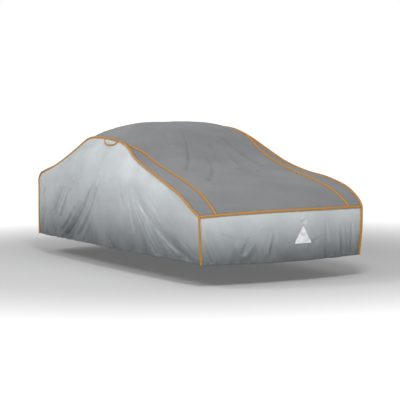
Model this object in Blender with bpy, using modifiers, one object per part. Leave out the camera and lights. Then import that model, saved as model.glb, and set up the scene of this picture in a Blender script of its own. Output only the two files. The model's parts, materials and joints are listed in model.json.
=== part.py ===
"""Fitted half-height cover for a small coupe, hollow inside, as it hangs over the car it protects.

Front is -Y, width runs along X and up is +Z, in metres. The origin is the point under the highest
part of the roof cloth, on the centreline, where the cover is held up. Heights in the tables are
measured from the floor and are turned into this frame by the function "place".

The shape is a row of ribs. Each rib crosses the cover from its right-hand side seam to its left-hand
one, and the ribs run from the front hem up over the bonnet, roof and boot and down to the rear hem.
"""
import math

import bmesh
import bpy
from mathutils import Vector

COLLECTION_NAME = "car_cover"

# Driving sizes, in metres
ROOF_HEIGHT = 1.380
ROOF_STATION = 0.200
TOP_CLOTH = 0.003
SIDE_CLOTH = 0.0015
PIPING_RADIUS = 0.006
SEAM_SETBACK = PIPING_RADIUS + 0.0009
PIPING_CLEARANCE = PIPING_RADIUS + 0.0028
PIPING_PARTING = 2.0 * PIPING_RADIUS + 0.0012
STRIP_ROOM = 0.022
SIDE_NAMES = (("right", -1.0), ("left", 1.0))

# One row for each rib, front hem to rear hem. station is metres behind the middle of the wheelbase.
# The cloth lies askew over a symmetric roof, so its right seam hangs lower and further out. The
# power says how flat a rib is across its middle, bow is how far the middle lies behind the ends,
# and inner is the bonnet seam's share of the width. The columns are
# name, station, right_width, right_height, left_width, left_height, mid_height, power, bow, inner.
RIBS = (
    ("front_hem", -1.887, 0.798, 0.196, 0.798, 0.196, 0.188, 2.2, -0.095, 0.845),
    ("bumper", -1.903, 0.815, 0.420, 0.815, 0.425, 0.425, 2.2, -0.105, 0.845),
    ("front_seam", -1.900, 0.822, 0.610, 0.822, 0.627, 0.634, 2.2, -0.080, 0.815),
    ("nose", -1.800, 0.848, 0.683, 0.848, 0.696, 0.708, 2.2, -0.050, 0.785),
    ("bonnet_front", -1.600, 0.856, 0.788, 0.856, 0.791, 0.796, 2.2, -0.020, 0.767),
    ("bonnet", -1.300, 0.838, 0.874, 0.838, 0.865, 0.877, 2.2, 0.0, 0.760),
    ("bonnet_rear", -1.000, 0.806, 0.943, 0.806, 0.910, 0.953, 2.3, 0.0, 0.782),
    ("cowl", -0.700, 0.765, 1.005, 0.765, 0.987, 1.040, 2.5, 0.0, 0.817),
    ("windscreen", -0.450, 0.732, 1.074, 0.712, 1.099, 1.148, 2.6, 0.0, 0.846),
    ("windscreen_top", -0.250, 0.692, 1.148, 0.636, 1.214, 1.258, 2.7, 0.0, 0.955),
    ("roof_front", -0.050, 0.661, 1.194, 0.577, 1.292, 1.344, 3.2, 0.0, 1.0),
    ("roof", ROOF_STATION, 0.640, 1.218, 0.540, 1.320, ROOF_HEIGHT, 4.0, 0.0, 1.0),
    ("roof_top", 0.550, 0.624, 1.232, 0.524, 1.317, 1.356, 4.5, 0.0, 1.0),
    ("roof_rear", 0.850, 0.618, 1.211, 0.522, 1.277, 1.292, 4.5, 0.0, 1.0),
    ("rear_window", 1.200, 0.620, 1.086, 0.552, 1.133, 1.182, 4.0, 0.0, 1.0),
    ("boot", 1.600, 0.651, 0.931, 0.621, 0.945, 1.005, 3.5, 0.010, 1.0),
    ("boot_rear", 1.850, 0.676, 0.863, 0.668, 0.863, 0.922, 3.0, 0.025, 1.0),
    ("boot_edge", 1.957, 0.690, 0.830, 0.690, 0.832, 0.880, 2.6, 0.045, 1.0),
    ("boot_lip", 2.000, 0.700, 0.772, 0.700, 0.772, 0.806, 2.2, 0.065, 1.0),
    ("rear_seam", 1.966, 0.716, 0.660, 0.716, 0.660, 0.680, 2.2, 0.080, 1.0),
    ("rear_bumper", 1.905, 0.745, 0.420, 0.745, 0.420, 0.425, 2.2, 0.095, 1.0),
    ("rear_hem", 1.840, 0.772, 0.194, 0.772, 0.194, 0.188, 2.2, 0.080, 1.0),
)

CORNER_RIBS = ("front_seam", "boot_edge")

# One row for each place along a side: where the cloth turns over the shoulder, and where it hangs
# to. The columns are station, belt_width, belt_height, mid_width, hem_station, hem_width, hem_height.
SIDES = (
    (-1.900, 0.822, 0.500, 0.815, -1.887, 0.798, 0.196),
    (-1.500, 0.868, 0.660, 0.868, -1.500, 0.846, 0.212),
    (-0.900, 0.880, 0.790, 0.885, -0.930, 0.864, 0.208),
    (-0.300, 0.880, 0.850, 0.888, -0.350, 0.868, 0.207),
    (0.300, 0.878, 0.870, 0.888, 0.230, 0.868, 0.213),
    (0.900, 0.868, 0.860, 0.878, 0.800, 0.862, 0.210),
    (1.500, 0.815, 0.800, 0.838, 1.380, 0.836, 0.204),
    (1.957, 0.706, 0.700, 0.738, 1.840, 0.772, 0.194),
)

# One row for each fold: it runs from its start over its middle to its end, and depth is negative
# for a trough. Side folds are placed by station and height, front and rear ones by width and
# height, and the top's by width and station. The columns are
# start, start_height, middle, middle_height, end, end_height, depth, width.
RIGHT_FOLDS = (
    (-0.03, 0.92, 0.32, 0.60, 1.00, 0.23, -0.020, 0.085),
    (0.06, 0.94, 0.48, 0.64, 1.14, 0.25, 0.013, 0.080),
    (0.02, 0.80, 0.34, 0.50, 0.78, 0.22, -0.012, 0.075),
    (0.50, 0.94, 0.64, 0.82, 0.74, 0.70, -0.012, 0.070),
    (0.72, 0.78, 0.94, 0.52, 1.24, 0.24, -0.018, 0.080),
    (0.87, 0.80, 1.17, 0.54, 1.28, 0.26, -0.016, 0.075),
    (1.05, 0.78, 1.36, 0.50, 1.52, 0.26, 0.012, 0.075),
    (1.44, 0.78, 1.57, 0.60, 1.70, 0.40, -0.012, 0.075),
    (-0.60, 0.86, -0.56, 0.78, -0.50, 0.68, -0.012, 0.070),
    (-0.61, 0.78, -0.72, 0.52, -0.95, 0.23, -0.014, 0.075),
    (-0.68, 0.80, -0.90, 0.55, -1.11, 0.24, 0.012, 0.070),
    (-0.75, 0.78, -1.00, 0.54, -1.28, 0.23, -0.018, 0.080),
    (-0.64, 0.85, -1.12, 0.52, -1.62, 0.26, -0.020, 0.080),
    (-1.26, 0.48, -1.52, 0.36, -1.76, 0.23, -0.014, 0.070),
    (-0.13, 0.34, -0.20, 0.28, -0.26, 0.20, -0.010, 0.070),
    (-0.48, 0.36, -0.56, 0.29, -0.64, 0.20, -0.010, 0.070),
)
LEFT_FOLDS = (
    (-0.05, 0.92, 0.30, 0.58, 0.90, 0.23, -0.018, 0.095),
    (0.62, 0.80, 0.88, 0.52, 1.20, 0.24, -0.016, 0.090),
    (-0.62, 0.82, -0.86, 0.52, -1.12, 0.24, -0.016, 0.095),
    (-0.70, 0.84, -1.12, 0.54, -1.60, 0.26, -0.018, 0.095),
    (1.35, 0.74, 1.48, 0.52, 1.58, 0.30, -0.012, 0.090),
)
FRONT_FOLDS = (
    (-0.77, 0.58, -0.76, 0.42, -0.70, 0.22, -0.014, 0.070),
    (-0.62, 0.38, -0.54, 0.30, -0.46, 0.22, -0.012, 0.075),
    (-0.48, 0.44, -0.40, 0.34, -0.30, 0.22, -0.014, 0.075),
    (-0.38, 0.50, -0.28, 0.38, -0.18, 0.24, 0.010, 0.075),
    (0.38, 0.52, 0.39, 0.38, 0.42, 0.22, -0.012, 0.070),
    (0.62, 0.54, 0.62, 0.38, 0.63, 0.22, -0.012, 0.070),
)
REAR_FOLDS = (
    (-0.48, 0.64, -0.56, 0.52, -0.68, 0.38, -0.014, 0.070),
    (-0.32, 0.60, -0.38, 0.42, -0.42, 0.22, -0.014, 0.075),
    (-0.14, 0.46, -0.16, 0.34, -0.18, 0.22, 0.012, 0.070),
    (0.18, 0.48, 0.20, 0.34, 0.22, 0.22, -0.012, 0.070),
    (0.32, 0.60, 0.38, 0.42, 0.42, 0.22, 0.012, 0.075),
    (0.48, 0.62, 0.56, 0.50, 0.66, 0.34, -0.014, 0.070),
)
TOP_FOLDS = (
    (-0.02, 0.02, -0.14, -0.30, -0.30, -0.62, -0.011, 0.090),
    (0.16, -0.14, 0.02, -0.50, -0.14, -0.86, -0.011, 0.090),
    (0.22, -0.16, 0.24, -0.48, 0.22, -0.90, 0.009, 0.090),
    (-0.36, 1.10, -0.44, 1.40, -0.50, 1.70, -0.010, 0.100),
    (0.34, 1.15, 0.42, 1.42, 0.50, 1.70, -0.010, 0.100),
)
SIDE_FOLDS = (RIGHT_FOLDS, LEFT_FOLDS)
SWELL_DEPTH = 0.004
SWELL_LENGTH = 0.55
SWELL_SLANTS = (0.4, 0.3)

# Half-moon vent under the roof seam, and the warning triangles on the front and rear
VENT_STATION = 0.225
VENT_HEIGHT = 1.17
VENT_LENGTH = 0.32
VENT_DROP = 0.056
VENT_CHORD = 0.013
VENT_MARGIN = 0.006
VENT_CLOTH = 0.0012
VENT_BLUNT = 0.93
VENT_LIFT = 0.0030
VENT_PIPING_RADIUS = 0.005
VENT_FLAT = 0.24
REFLECTOR_SIDE = 0.180
REFLECTOR_THICKNESS = 0.0015
REFLECTOR_LIFT = 0.0022
REFLECTOR_FLAT = 0.16
FRONT_REFLECTOR = (0.140, 0.400)
REAR_REFLECTOR = (0.0, 0.540)

# Mesh steps. The steps along the ribs are shared, so that the edges of neighbours run side by side:
# one row for each leg of the side seam.
SEAM_LEGS = (
    ("front_hem", "front_seam", 6),
    ("front_seam", "boot_edge", 56),
    ("boot_edge", "rear_seam", 6),
    ("rear_seam", "rear_hem", 6),
)
SIDE_ROWS = (14, 10)
TOP_ROWS = 9
STRIP_ROWS = 2
FRONT_STEPS = (7, 26)
REAR_STEPS = (7, 24)
VENT_STEPS = (10, 2)

# The long cloths are modelled in parts, each up to the rib that it names, so that their collision
# pieces follow the bends. The parts are this far apart.
TOP_PARTS = (
    ("bonnet", "cowl"),
    ("windscreen", "roof_front"),
    ("roof", "roof_rear"),
    ("boot", "rear_seam"),
)
SIDE_PARTS = (("front", "cowl"), ("middle", "roof_rear"), ("rear", "boot_edge"))
PART_GAP = 0.0006
CROSS_PIPING_STEPS = 16
VENT_PIPING_STEPS = 14

# How the panels are drawn: where along a hanging line its shoulder and middle lie, how far from a
# seam the folds have risen fully, and the step used to measure a slope
BELT_SHARE = 0.35
MIDDLE_SHARE = 0.70
CORNER_SHARE = 0.22
SEAM_EASE = 0.09
FOLD_START = 0.12
NORMAL_STEP = 0.004
FLAT_SHARE = 0.5
NUDGE = 0.001
RULER_STEPS = 160

# Cloth faces away from a line inside the cover, at this height and this share of its own station
INSIDE_HEIGHT = 0.50
INSIDE_SHARE = 0.5

# Name, linear colour, roughness and metallic value of each material
SILVER_CLOTH = ("silver_cloth", (0.52, 0.54, 0.55), 0.45, 0.15)
GREY_CLOTH = ("grey_cloth", (0.23, 0.235, 0.24), 0.80, 0.0)
ORANGE_PIPING = ("orange_piping", (0.65, 0.24, 0.03), 0.60, 0.0)
REFLECTIVE_FILM = ("reflective_film", (0.85, 0.86, 0.87), 0.20, 0.40)


def place(x, station, height):
    """A point of the cover from its width, its station and its height above the floor."""
    return Vector((x, station - ROOF_STATION, height - ROOF_HEIGHT + TOP_CLOTH))


def lerp(start, end, share):
    return start + (end - start) * share


def smoothstep(value):
    value = min(max(value, 0.0), 1.0)
    return value * value * (3.0 - 2.0 * value)


def curve_through(rows, spot):
    """A Catmull-Rom curve through rows of equal length, at row number spot."""
    last = len(rows) - 1
    spot = min(max(spot, 0.0), float(last))
    index = min(int(spot), last - 1)
    share = spot - index
    row = rows[index]
    after = rows[index + 1]
    before = rows[index - 1] if index else [2 * a - b for a, b in zip(row, after)]
    beyond = rows[index + 2] if index + 2 <= last else [2 * b - a for a, b in zip(row, after)]
    point = []
    for p0, p1, p2, p3 in zip(before, row, after, beyond):
        slope_in = 0.5 * (p2 - p0)
        slope_out = 0.5 * (p3 - p1)
        drop = p1 - p2
        cubic = 2.0 * drop + slope_in + slope_out
        square = -3.0 * drop - 2.0 * slope_in - slope_out
        point.append(((cubic * share + square) * share + slope_in) * share + p1)
    return point


class Ruler:
    """Turns a share of a curve's length into a place on it, so that steps along it are even."""

    def __init__(self, curve, start, end, steps=RULER_STEPS):
        self.curve = curve
        self.spots = [lerp(start, end, i / steps) for i in range(steps + 1)]
        self.lengths = [0.0]
        points = [curve(spot) for spot in self.spots]
        for before, after in zip(points, points[1:]):
            self.lengths.append(self.lengths[-1] + (after - before).length)
        self.length = self.lengths[-1]

    def spot(self, share):
        wanted = min(max(share, 0.0), 1.0) * self.length
        index = 1
        while index < len(self.lengths) - 1 and self.lengths[index] < wanted:
            index += 1
        step = self.lengths[index] - self.lengths[index - 1]
        part = (wanted - self.lengths[index - 1]) / step
        return lerp(self.spots[index - 1], self.spots[index], part)

    def point(self, share):
        return self.curve(self.spot(share))


# Ribs and the seams that follow them

RIB_VALUES = [row[1:] for row in RIBS]


def rib_number(name):
    return float([row[0] for row in RIBS].index(name))


def rib_values(rib):
    """The sizes at one place along the ribs. The side seams turn a corner at the corner ribs."""
    corners = [0, *(int(rib_number(name)) for name in CORNER_RIBS), len(RIBS) - 1]
    for first, last in zip(corners, corners[1:]):
        if rib <= last:
            break
    return curve_through(RIB_VALUES[first:last + 1], rib - first)


def over_the_top(rib, across):
    """A point of the front, top and rear cloth: across runs from -1 at the right seam to 1."""
    station, right_width, right, left_width, left, middle, power, bow, inner = rib_values(rib)
    width, edge_height = (right_width, right) if across < 0.0 else (left_width, left)
    height = middle - (middle - edge_height) * abs(across) ** power
    return place(across * width, station + bow * (1.0 - across * across), height)


def seam_spots(first, last):
    """The shared places along the ribs, from one rib to another."""
    spots = [0.0]
    for start, end, steps in SEAM_LEGS:
        leg = Ruler(lambda rib: over_the_top(rib, -1.0), rib_number(start), rib_number(end))
        spots += [leg.spot((i + 1) / steps) for i in range(steps)]
    return [spot for spot in spots if first - NUDGE < spot < last + NUDGE]


class Steps:
    """A list of rib places, read by a share from 0 to 1 that passes them in equal steps."""

    def __init__(self, spots, across):
        self.spots = spots
        points = [over_the_top(spot, across) for spot in spots]
        self.length = sum((b - a).length for a, b in zip(points, points[1:]))

    def spot(self, share):
        position = min(max(share, 0.0), 1.0) * (len(self.spots) - 1)
        index = min(int(position), len(self.spots) - 2)
        return lerp(self.spots[index], self.spots[index + 1], position - index)


def inner_share(rib):
    return min(rib_values(rib)[-1], 1.0)


def side_seam(side):
    return lambda rib: over_the_top(rib, side)


def bonnet_seam(side):
    return lambda rib: over_the_top(rib, side * inner_share(rib))


def row_spot(rows, station):
    """The row number, with its part, at which a table's first column reaches a station."""
    index = 0
    while index < len(rows) - 2 and rows[index + 1][0] < station:
        index += 1
    return index + (station - rows[index][0]) / (rows[index + 1][0] - rows[index][0])


# Folds

def fold_relief(folds, along, height):
    """How far the cloth stands out at one place, from a table of folds."""
    total = 0.0
    for start, start_height, middle, middle_height, end, end_height, depth, width in folds:
        corners = (Vector((start, start_height)), Vector((middle, middle_height)), Vector((end, end_height)))
        reach = []
        for leg, (first, last) in enumerate(zip(corners, corners[1:])):
            run = last - first
            offset = Vector((along, height)) - first
            share = min(max(offset.dot(run) / run.length_squared, 0.0), 1.0)
            reach.append(((offset - run * share).length, leg + share))
        distance, share = min(reach)
        distance /= width
        if distance < 1.0:
            total += depth * lerp(FOLD_START, 1.0, share / len(reach)) * (1.0 - distance * distance) ** 2
    return total


def swell(along, height):
    """The slow unevenness of cloth that lies over a body."""
    along_slant, height_slant = SWELL_SLANTS
    first = math.sin(2.0 * math.pi * (along + along_slant * height) / SWELL_LENGTH)
    second = math.sin(2.0 * math.pi * (height - height_slant * along) / SWELL_LENGTH)
    return SWELL_DEPTH * first * second


# Panels: each is a function of two shares from 0 to 1

class Panel:
    """A cloth panel. Its smooth form is a function of two shares, and folds stand out from it."""

    def __call__(self, along, across):
        point = self.smooth(along, across)
        first, second = self.fold_place(point)
        relief = fold_relief(self.folds, first, second) + swell(first, second)
        return point + self.outward(along, across) * relief * self.ease(along, across, first, second)

    def outward(self, along, across):
        """The direction that points out of the cover at one place on the smooth form."""
        step = NORMAL_STEP
        smooth = self.smooth
        run = smooth(min(along + step, 1.0), across) - smooth(max(along - step, 0.0), across)
        fall = smooth(along, min(across + step, 1.0)) - smooth(along, max(across - step, 0.0))
        normal = run.cross(fall).normalized()
        point = smooth(along, across)
        if normal.dot(point - place(0.0, INSIDE_SHARE * (point.y + ROOF_STATION), INSIDE_HEIGHT)) < 0.0:
            normal.negate()
        return normal

    def seam_share(self, along, across, inward_along, inward_across):
        """The share by which cloth stops short of the seam at one place, to clear the piping."""
        step = NORMAL_STEP
        here = self.smooth(along, across)
        inward = self.smooth(along + inward_along * step, across + inward_across * step) - here
        edge_along = step if inward_across else 0.0
        edge_across = step if inward_along else 0.0
        edge_end = self.smooth(min(along + edge_along, 1.0), min(across + edge_across, 1.0))
        edge_start = self.smooth(max(along - edge_along, 0.0), max(across - edge_across, 0.0))
        sine = inward.normalized().cross((edge_end - edge_start).normalized()).length
        return SEAM_SETBACK / sine * step / inward.length

    def clear_of_seams(self, along, across):
        """The same place on the panel once its sewn edges have been drawn back from the piping."""
        start, end, low, high = self.sewn
        from_start = self.seam_share(0.0, across, 1, 0) if start else 0.0
        from_end = self.seam_share(1.0, across, -1, 0) if end else 0.0
        along = lerp(from_start, 1.0 - from_end, along)
        from_low = self.seam_share(along, 0.0, 0, 1) if low else 0.0
        from_high = self.seam_share(along, 1.0, 0, -1) if high else 0.0
        return along, lerp(from_low, 1.0 - from_high, across)


class SidePanel(Panel):
    """The cloth between one side seam and the hem, from the front corner to the rear one."""

    sewn = (True, True, True, False)

    def __init__(self, side, folds):
        self.side = side
        self.folds = folds
        seam = side_seam(side)
        self.steps = Steps(seam_spots(rib_number("front_seam"), rib_number("boot_edge")), side)
        self.front = Ruler(seam, rib_number("front_seam"), rib_number("front_hem"))
        self.rear = Ruler(seam, rib_number("boot_edge"), rib_number("rear_hem"))

    def hanging_line(self, along, down):
        """The cloth from the seam over the shoulder to the hem, at one place along the side."""
        seam_point = over_the_top(self.steps.spot(along), self.side)
        station = seam_point.y + ROOF_STATION
        row = curve_through(SIDES, row_spot(SIDES, station))
        belt_width, belt_height, mid_width, hem_station, hem_width, hem_height = row[1:]
        belt = place(self.side * belt_width, lerp(station, hem_station, BELT_SHARE), belt_height)
        middle_height = (belt_height + hem_height) / 2.0
        middle = place(self.side * mid_width, lerp(station, hem_station, MIDDLE_SHARE), middle_height)
        hem = place(self.side * hem_width, hem_station, hem_height)
        line = (seam_point, belt, middle, hem)
        return Vector(curve_through(line, (len(line) - 1) * down))

    def smooth(self, along, down):
        """The side without its folds, drawn to the corner seams at both ends."""
        point = self.hanging_line(along, down)
        for corner, end, distance in ((self.front, 0.0, along), (self.rear, 1.0, 1.0 - along)):
            if distance < CORNER_SHARE:
                pull = 1.0 - smoothstep(distance / CORNER_SHARE)
                point += (corner.point(down) - self.hanging_line(end, down)) * pull
        return point

    def fold_place(self, point):
        return point.y + ROOF_STATION, point.z + ROOF_HEIGHT

    def ease(self, along, down, station, height):
        """Folds die out at the seams, and the cloth is flat under the vent."""
        ends = min(along, 1.0 - along) * self.steps.length
        vent = math.hypot(station - VENT_STATION, height - VENT_HEIGHT)
        at_seams = smoothstep(ends / SEAM_EASE) * smoothstep(down / SEAM_EASE)
        return at_seams * smoothstep(vent / VENT_FLAT - FLAT_SHARE)


class RibPanel(Panel):
    """Cloth that lies across the ribs, from one of them to another and between two edges."""

    def __init__(self, steps, edges, sewn, folds):
        self.edges = edges
        self.sewn = sewn
        self.folds = folds
        self.steps = steps

    def smooth(self, along, across):
        rib = self.steps.spot(along)
        right, left = self.edges(rib)
        return over_the_top(rib, lerp(right, left, across))

    def fold_place(self, point):
        return point.x, point.y + ROOF_STATION

    def ease(self, along, across, first, second):
        """Folds die out at the seams."""
        width = (self.smooth(along, 1.0) - self.smooth(along, 0.0)).length
        from_sides = min(across, 1.0 - across) * width
        from_ends = min(along, 1.0 - along) * self.steps.length
        return smoothstep(from_sides / SEAM_EASE) * smoothstep(from_ends / SEAM_EASE)


class EndPanel(RibPanel):
    """The front or rear cloth, which hangs from its cross seam to the hem and bears a reflector."""

    def __init__(self, first, last, folds, reflector):
        ruler = Ruler(lambda rib: over_the_top(rib, 0.0), rib_number(first), rib_number(last))
        super().__init__(ruler, whole_width, (True, False, True, True), folds)
        self.reflector = reflector

    def fold_place(self, point):
        return point.x, point.z + ROOF_HEIGHT

    def ease(self, along, across, first, second):
        """Folds die out at the seams and round the reflector, but run off the hem."""
        from_seam = smoothstep(along * self.steps.length / SEAM_EASE)
        width = over_the_top(self.steps.spot(along), 1.0).x
        from_sides = smoothstep(2.0 * width * min(across, 1.0 - across) / SEAM_EASE)
        away = math.hypot(first - self.reflector[0], second - self.reflector[1])
        return from_seam * from_sides * smoothstep(away / REFLECTOR_FLAT - FLAT_SHARE)


def whole_width(rib):
    return -1.0, 1.0


def between_bonnet_seams(rib):
    return -inner_share(rib), inner_share(rib)


def beside_bonnet_seam(side):
    if side < 0.0:
        return lambda rib: (-1.0, -inner_share(rib))
    return lambda rib: (inner_share(rib), 1.0)


def strip_spots(room):
    """The shared places from the front seam to where the bonnet seam is this near the side seam."""
    def is_wide(rib):
        return (side_seam(1.0)(rib) - bonnet_seam(1.0)(rib)).length > room
    return [spot for spot in seam_spots(rib_number("front_seam"), rib_number("roof_front")) if is_wide(spot)]


# Objects

def make_material(name, color, roughness, metallic):
    material = bpy.data.materials.new(name)
    material.use_nodes = True
    shader = material.node_tree.nodes["Principled BSDF"]
    shader.inputs["Base Color"].default_value = (*color, 1.0)
    shader.inputs["Roughness"].default_value = roughness
    shader.inputs["Metallic"].default_value = metallic
    return material


def add_object(name, data, material):
    data.materials.append(material)
    piece = bpy.data.objects.new(name, data)
    bpy.data.collections[COLLECTION_NAME].objects.link(piece)
    return piece


def add_sheet(name, surface, steps, thickness, material):
    """A cloth sheet: a unit grid laid on a surface of two shares and thickened inwards."""
    mesh = bpy.data.meshes.new(name)
    grid = bmesh.new()
    bmesh.ops.create_grid(grid, x_segments=steps[0], y_segments=steps[1], size=0.5)
    for vertex in grid.verts:
        vertex.co = surface(vertex.co.x + 0.5, vertex.co.y + 0.5)
    grid.normal_update()
    grid.faces.ensure_lookup_table()
    face = grid.faces[len(grid.faces) // 2]
    centre = face.calc_center_median()
    inside = place(0.0, INSIDE_SHARE * (centre.y + ROOF_STATION), INSIDE_HEIGHT)
    if face.normal.dot(centre - inside) < 0.0:
        bmesh.ops.reverse_faces(grid, faces=grid.faces)
    grid.to_mesh(mesh)
    grid.free()
    mesh.shade_smooth()
    piece = add_object(name, mesh, material)
    solidify = piece.modifiers.new("Thickness", "SOLIDIFY")
    solidify.thickness = thickness
    solidify.offset = -1.0
    return piece


def add_panel(name, panel, steps, thickness, material):
    def surface(along, across):
        return panel(*panel.clear_of_seams(along, across))
    return add_sheet(name, surface, steps, thickness, material)


def add_parted_panel(name, panel, rows, thickness, material, parts):
    """A long panel in parts, with their edges a little apart."""
    spots = panel.steps.spots
    share = 1.0 / (len(spots) - 1)
    half_gap = PART_GAP / 2.0 / panel.steps.length
    first = 0
    for part, rib_name in parts:
        rib = rib_number(rib_name)
        last = min(range(len(spots)), key=lambda index: abs(spots[index] - rib))
        start = first * share + (half_gap if first else 0.0)
        end = last * share - (0.0 if last == len(spots) - 1 else half_gap)

        def surface(along, across):
            return panel(*panel.clear_of_seams(lerp(start, end, along), across))

        add_sheet(f"{name}_{part}", surface, (last - first, rows), thickness, material)
        first = last


def add_piping(name, points, radius, material):
    """Piping: a round cord in its tape, along a line of points."""
    curve = bpy.data.curves.new(name, "CURVE")
    curve.dimensions = "3D"
    curve.bevel_depth = radius
    curve.bevel_resolution = 1
    curve.use_fill_caps = True
    spline = curve.splines.new("POLY")
    spline.points.add(len(points) - 1)
    for spline_point, point in zip(spline.points, points):
        spline_point.co = (*point, 1.0)
    return add_object(name, curve, material)


def line_points(line, start, end, steps):
    ruler = Ruler(line, start, end)
    return [ruler.point(i / steps) for i in range(steps + 1)]


def add_seams(piping):
    """The piping of every seam. The side seams run from hem to hem, and the rest end against them."""
    for name, side in SIDE_NAMES:
        points = [side_seam(side)(spot) for spot in seam_spots(0.0, rib_number("rear_hem"))]
        add_piping(f"side_piping_{name}", points, PIPING_RADIUS, piping)
        points = [bonnet_seam(side)(spot) for spot in strip_spots(PIPING_PARTING)]
        points[0] += (points[1] - points[0]).normalized() * PIPING_CLEARANCE
        add_piping(f"bonnet_piping_{name}", points, PIPING_RADIUS, piping)
    for name, rib_name in (("front_piping", "front_seam"), ("rear_piping", "rear_seam")):
        rib = rib_number(rib_name)
        reach = 1.0 - PIPING_CLEARANCE / over_the_top(rib, 1.0).x
        points = line_points(lambda across: over_the_top(rib, across), -reach, reach, CROSS_PIPING_STEPS)
        add_piping(name, points, PIPING_RADIUS, piping)


def add_vent(name, panel, silver, piping):
    """A half-moon flap under the roof seam, with piping round its bow."""
    middle = 0.0
    while panel.smooth(middle, 0.0).y < VENT_STATION - ROOF_STATION:
        middle += NORMAL_STEP
    fall = (panel.smooth(middle, NORMAL_STEP) - panel.smooth(middle, 0.0)).length / NORMAL_STEP

    def vent_point(run, drop, lift):
        along = middle + run / panel.steps.length
        down = (VENT_CHORD + drop) / fall
        return panel.smooth(along, down) + panel.outward(along, down) * lift

    def flap(along, down):
        share = (2.0 * along - 1.0) * VENT_BLUNT
        run = share * (VENT_LENGTH / 2.0 - VENT_MARGIN)
        drop = (VENT_DROP - VENT_MARGIN) * math.sqrt(1.0 - share * share) * down
        return vent_point(run, drop, VENT_LIFT + VENT_CLOTH)

    def bow(angle):
        run = VENT_LENGTH / 2.0 * math.cos(angle)
        drop = VENT_DROP * math.sin(angle)
        return vent_point(run, drop, VENT_LIFT + VENT_PIPING_RADIUS)

    add_sheet(f"vent_flap_{name}", flap, VENT_STEPS, VENT_CLOTH, silver)
    points = line_points(bow, 0.0, math.pi, VENT_PIPING_STEPS)
    add_piping(f"vent_piping_{name}", points, VENT_PIPING_RADIUS, piping)


def add_reflector(name, panel, film):
    """A flat triangle with its point up, sewn on the middle of the front or rear cloth."""
    across, height = panel.reflector
    along = 0.0
    while panel.smooth(along, 0.5).z + ROOF_HEIGHT > height:
        along += NORMAL_STEP
    half_width = over_the_top(panel.steps.spot(along), 1.0).x
    share = 0.5 + across / half_width / 2.0
    normal = panel.outward(along, share)
    side_way = Vector((0.0, 0.0, 1.0)).cross(normal).normalized()
    up = normal.cross(side_way)
    centre = panel.smooth(along, share) + normal * (REFLECTOR_LIFT + REFLECTOR_THICKNESS)
    mesh = bpy.data.meshes.new(name)
    plate = bmesh.new()
    radius = REFLECTOR_SIDE / math.sqrt(3.0)
    bmesh.ops.create_circle(plate, cap_ends=True, segments=3, radius=radius)
    for vertex in plate.verts:
        vertex.co = centre + side_way * vertex.co.x + up * vertex.co.y
    plate.normal_update()
    if plate.faces[:][0].normal.dot(normal) < 0.0:
        bmesh.ops.reverse_faces(plate, faces=plate.faces)
    plate.to_mesh(mesh)
    plate.free()
    piece = add_object(name, mesh, film)
    solidify = piece.modifiers.new("Thickness", "SOLIDIFY")
    solidify.thickness = REFLECTOR_THICKNESS
    solidify.offset = -1.0


def clear_scene():
    for piece in list(bpy.data.objects):
        bpy.data.objects.remove(piece, do_unlink=True)


def build():
    clear_scene()
    bpy.context.scene.collection.children.link(bpy.data.collections.new(COLLECTION_NAME))
    silver = make_material(*SILVER_CLOTH)
    grey = make_material(*GREY_CLOTH)
    piping = make_material(*ORANGE_PIPING)
    film = make_material(*REFLECTIVE_FILM)

    spots = seam_spots(rib_number("front_seam"), rib_number("rear_seam"))
    top = RibPanel(Steps(spots, 0.0), between_bonnet_seams, (True, True, True, True), TOP_FOLDS)
    add_parted_panel("top_panel", top, TOP_ROWS, TOP_CLOTH, grey, TOP_PARTS)
    spots = strip_spots(STRIP_ROOM)
    for name, side in SIDE_NAMES:
        strip = RibPanel(Steps(spots, side), beside_bonnet_seam(side), (True, False, True, True), ())
        add_panel(f"bonnet_strip_{name}", strip, (len(spots) - 1, STRIP_ROWS), TOP_CLOTH, grey)

    for (name, side), folds, rows in zip(SIDE_NAMES, SIDE_FOLDS, SIDE_ROWS):
        panel = SidePanel(side, folds)
        add_parted_panel(f"side_panel_{name}", panel, rows, SIDE_CLOTH, silver, SIDE_PARTS)
        add_vent(name, panel, silver, piping)

    front = EndPanel("front_seam", "front_hem", FRONT_FOLDS, FRONT_REFLECTOR)
    add_panel("front_panel", front, FRONT_STEPS, SIDE_CLOTH, silver)
    add_reflector("reflector_front", front, film)
    rear = EndPanel("rear_seam", "rear_hem", REAR_FOLDS, REAR_REFLECTOR)
    add_panel("rear_panel", rear, REAR_STEPS, SIDE_CLOTH, silver)
    add_reflector("reflector_rear", rear, film)
    add_seams(piping)


build()
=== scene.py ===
"""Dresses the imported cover: silver skirts, a grey top, orange piping, vent flaps and warning triangles.

Every cloth piece is a finer sheet laid on the outer skin of its solid. The solid's grid of corners
is read back from the frame, drawn finer, and then creased, gathered and puckered in metres. Places
on the cover are given as in the tables of the solids: station is metres behind the middle of the
wheelbase, and height is metres above the floor.
"""
import json
import math

import bmesh
import bpy
import numpy as np
from mathutils import Matrix, Vector, noise
from mathutils.bvhtree import BVHTree

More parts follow.
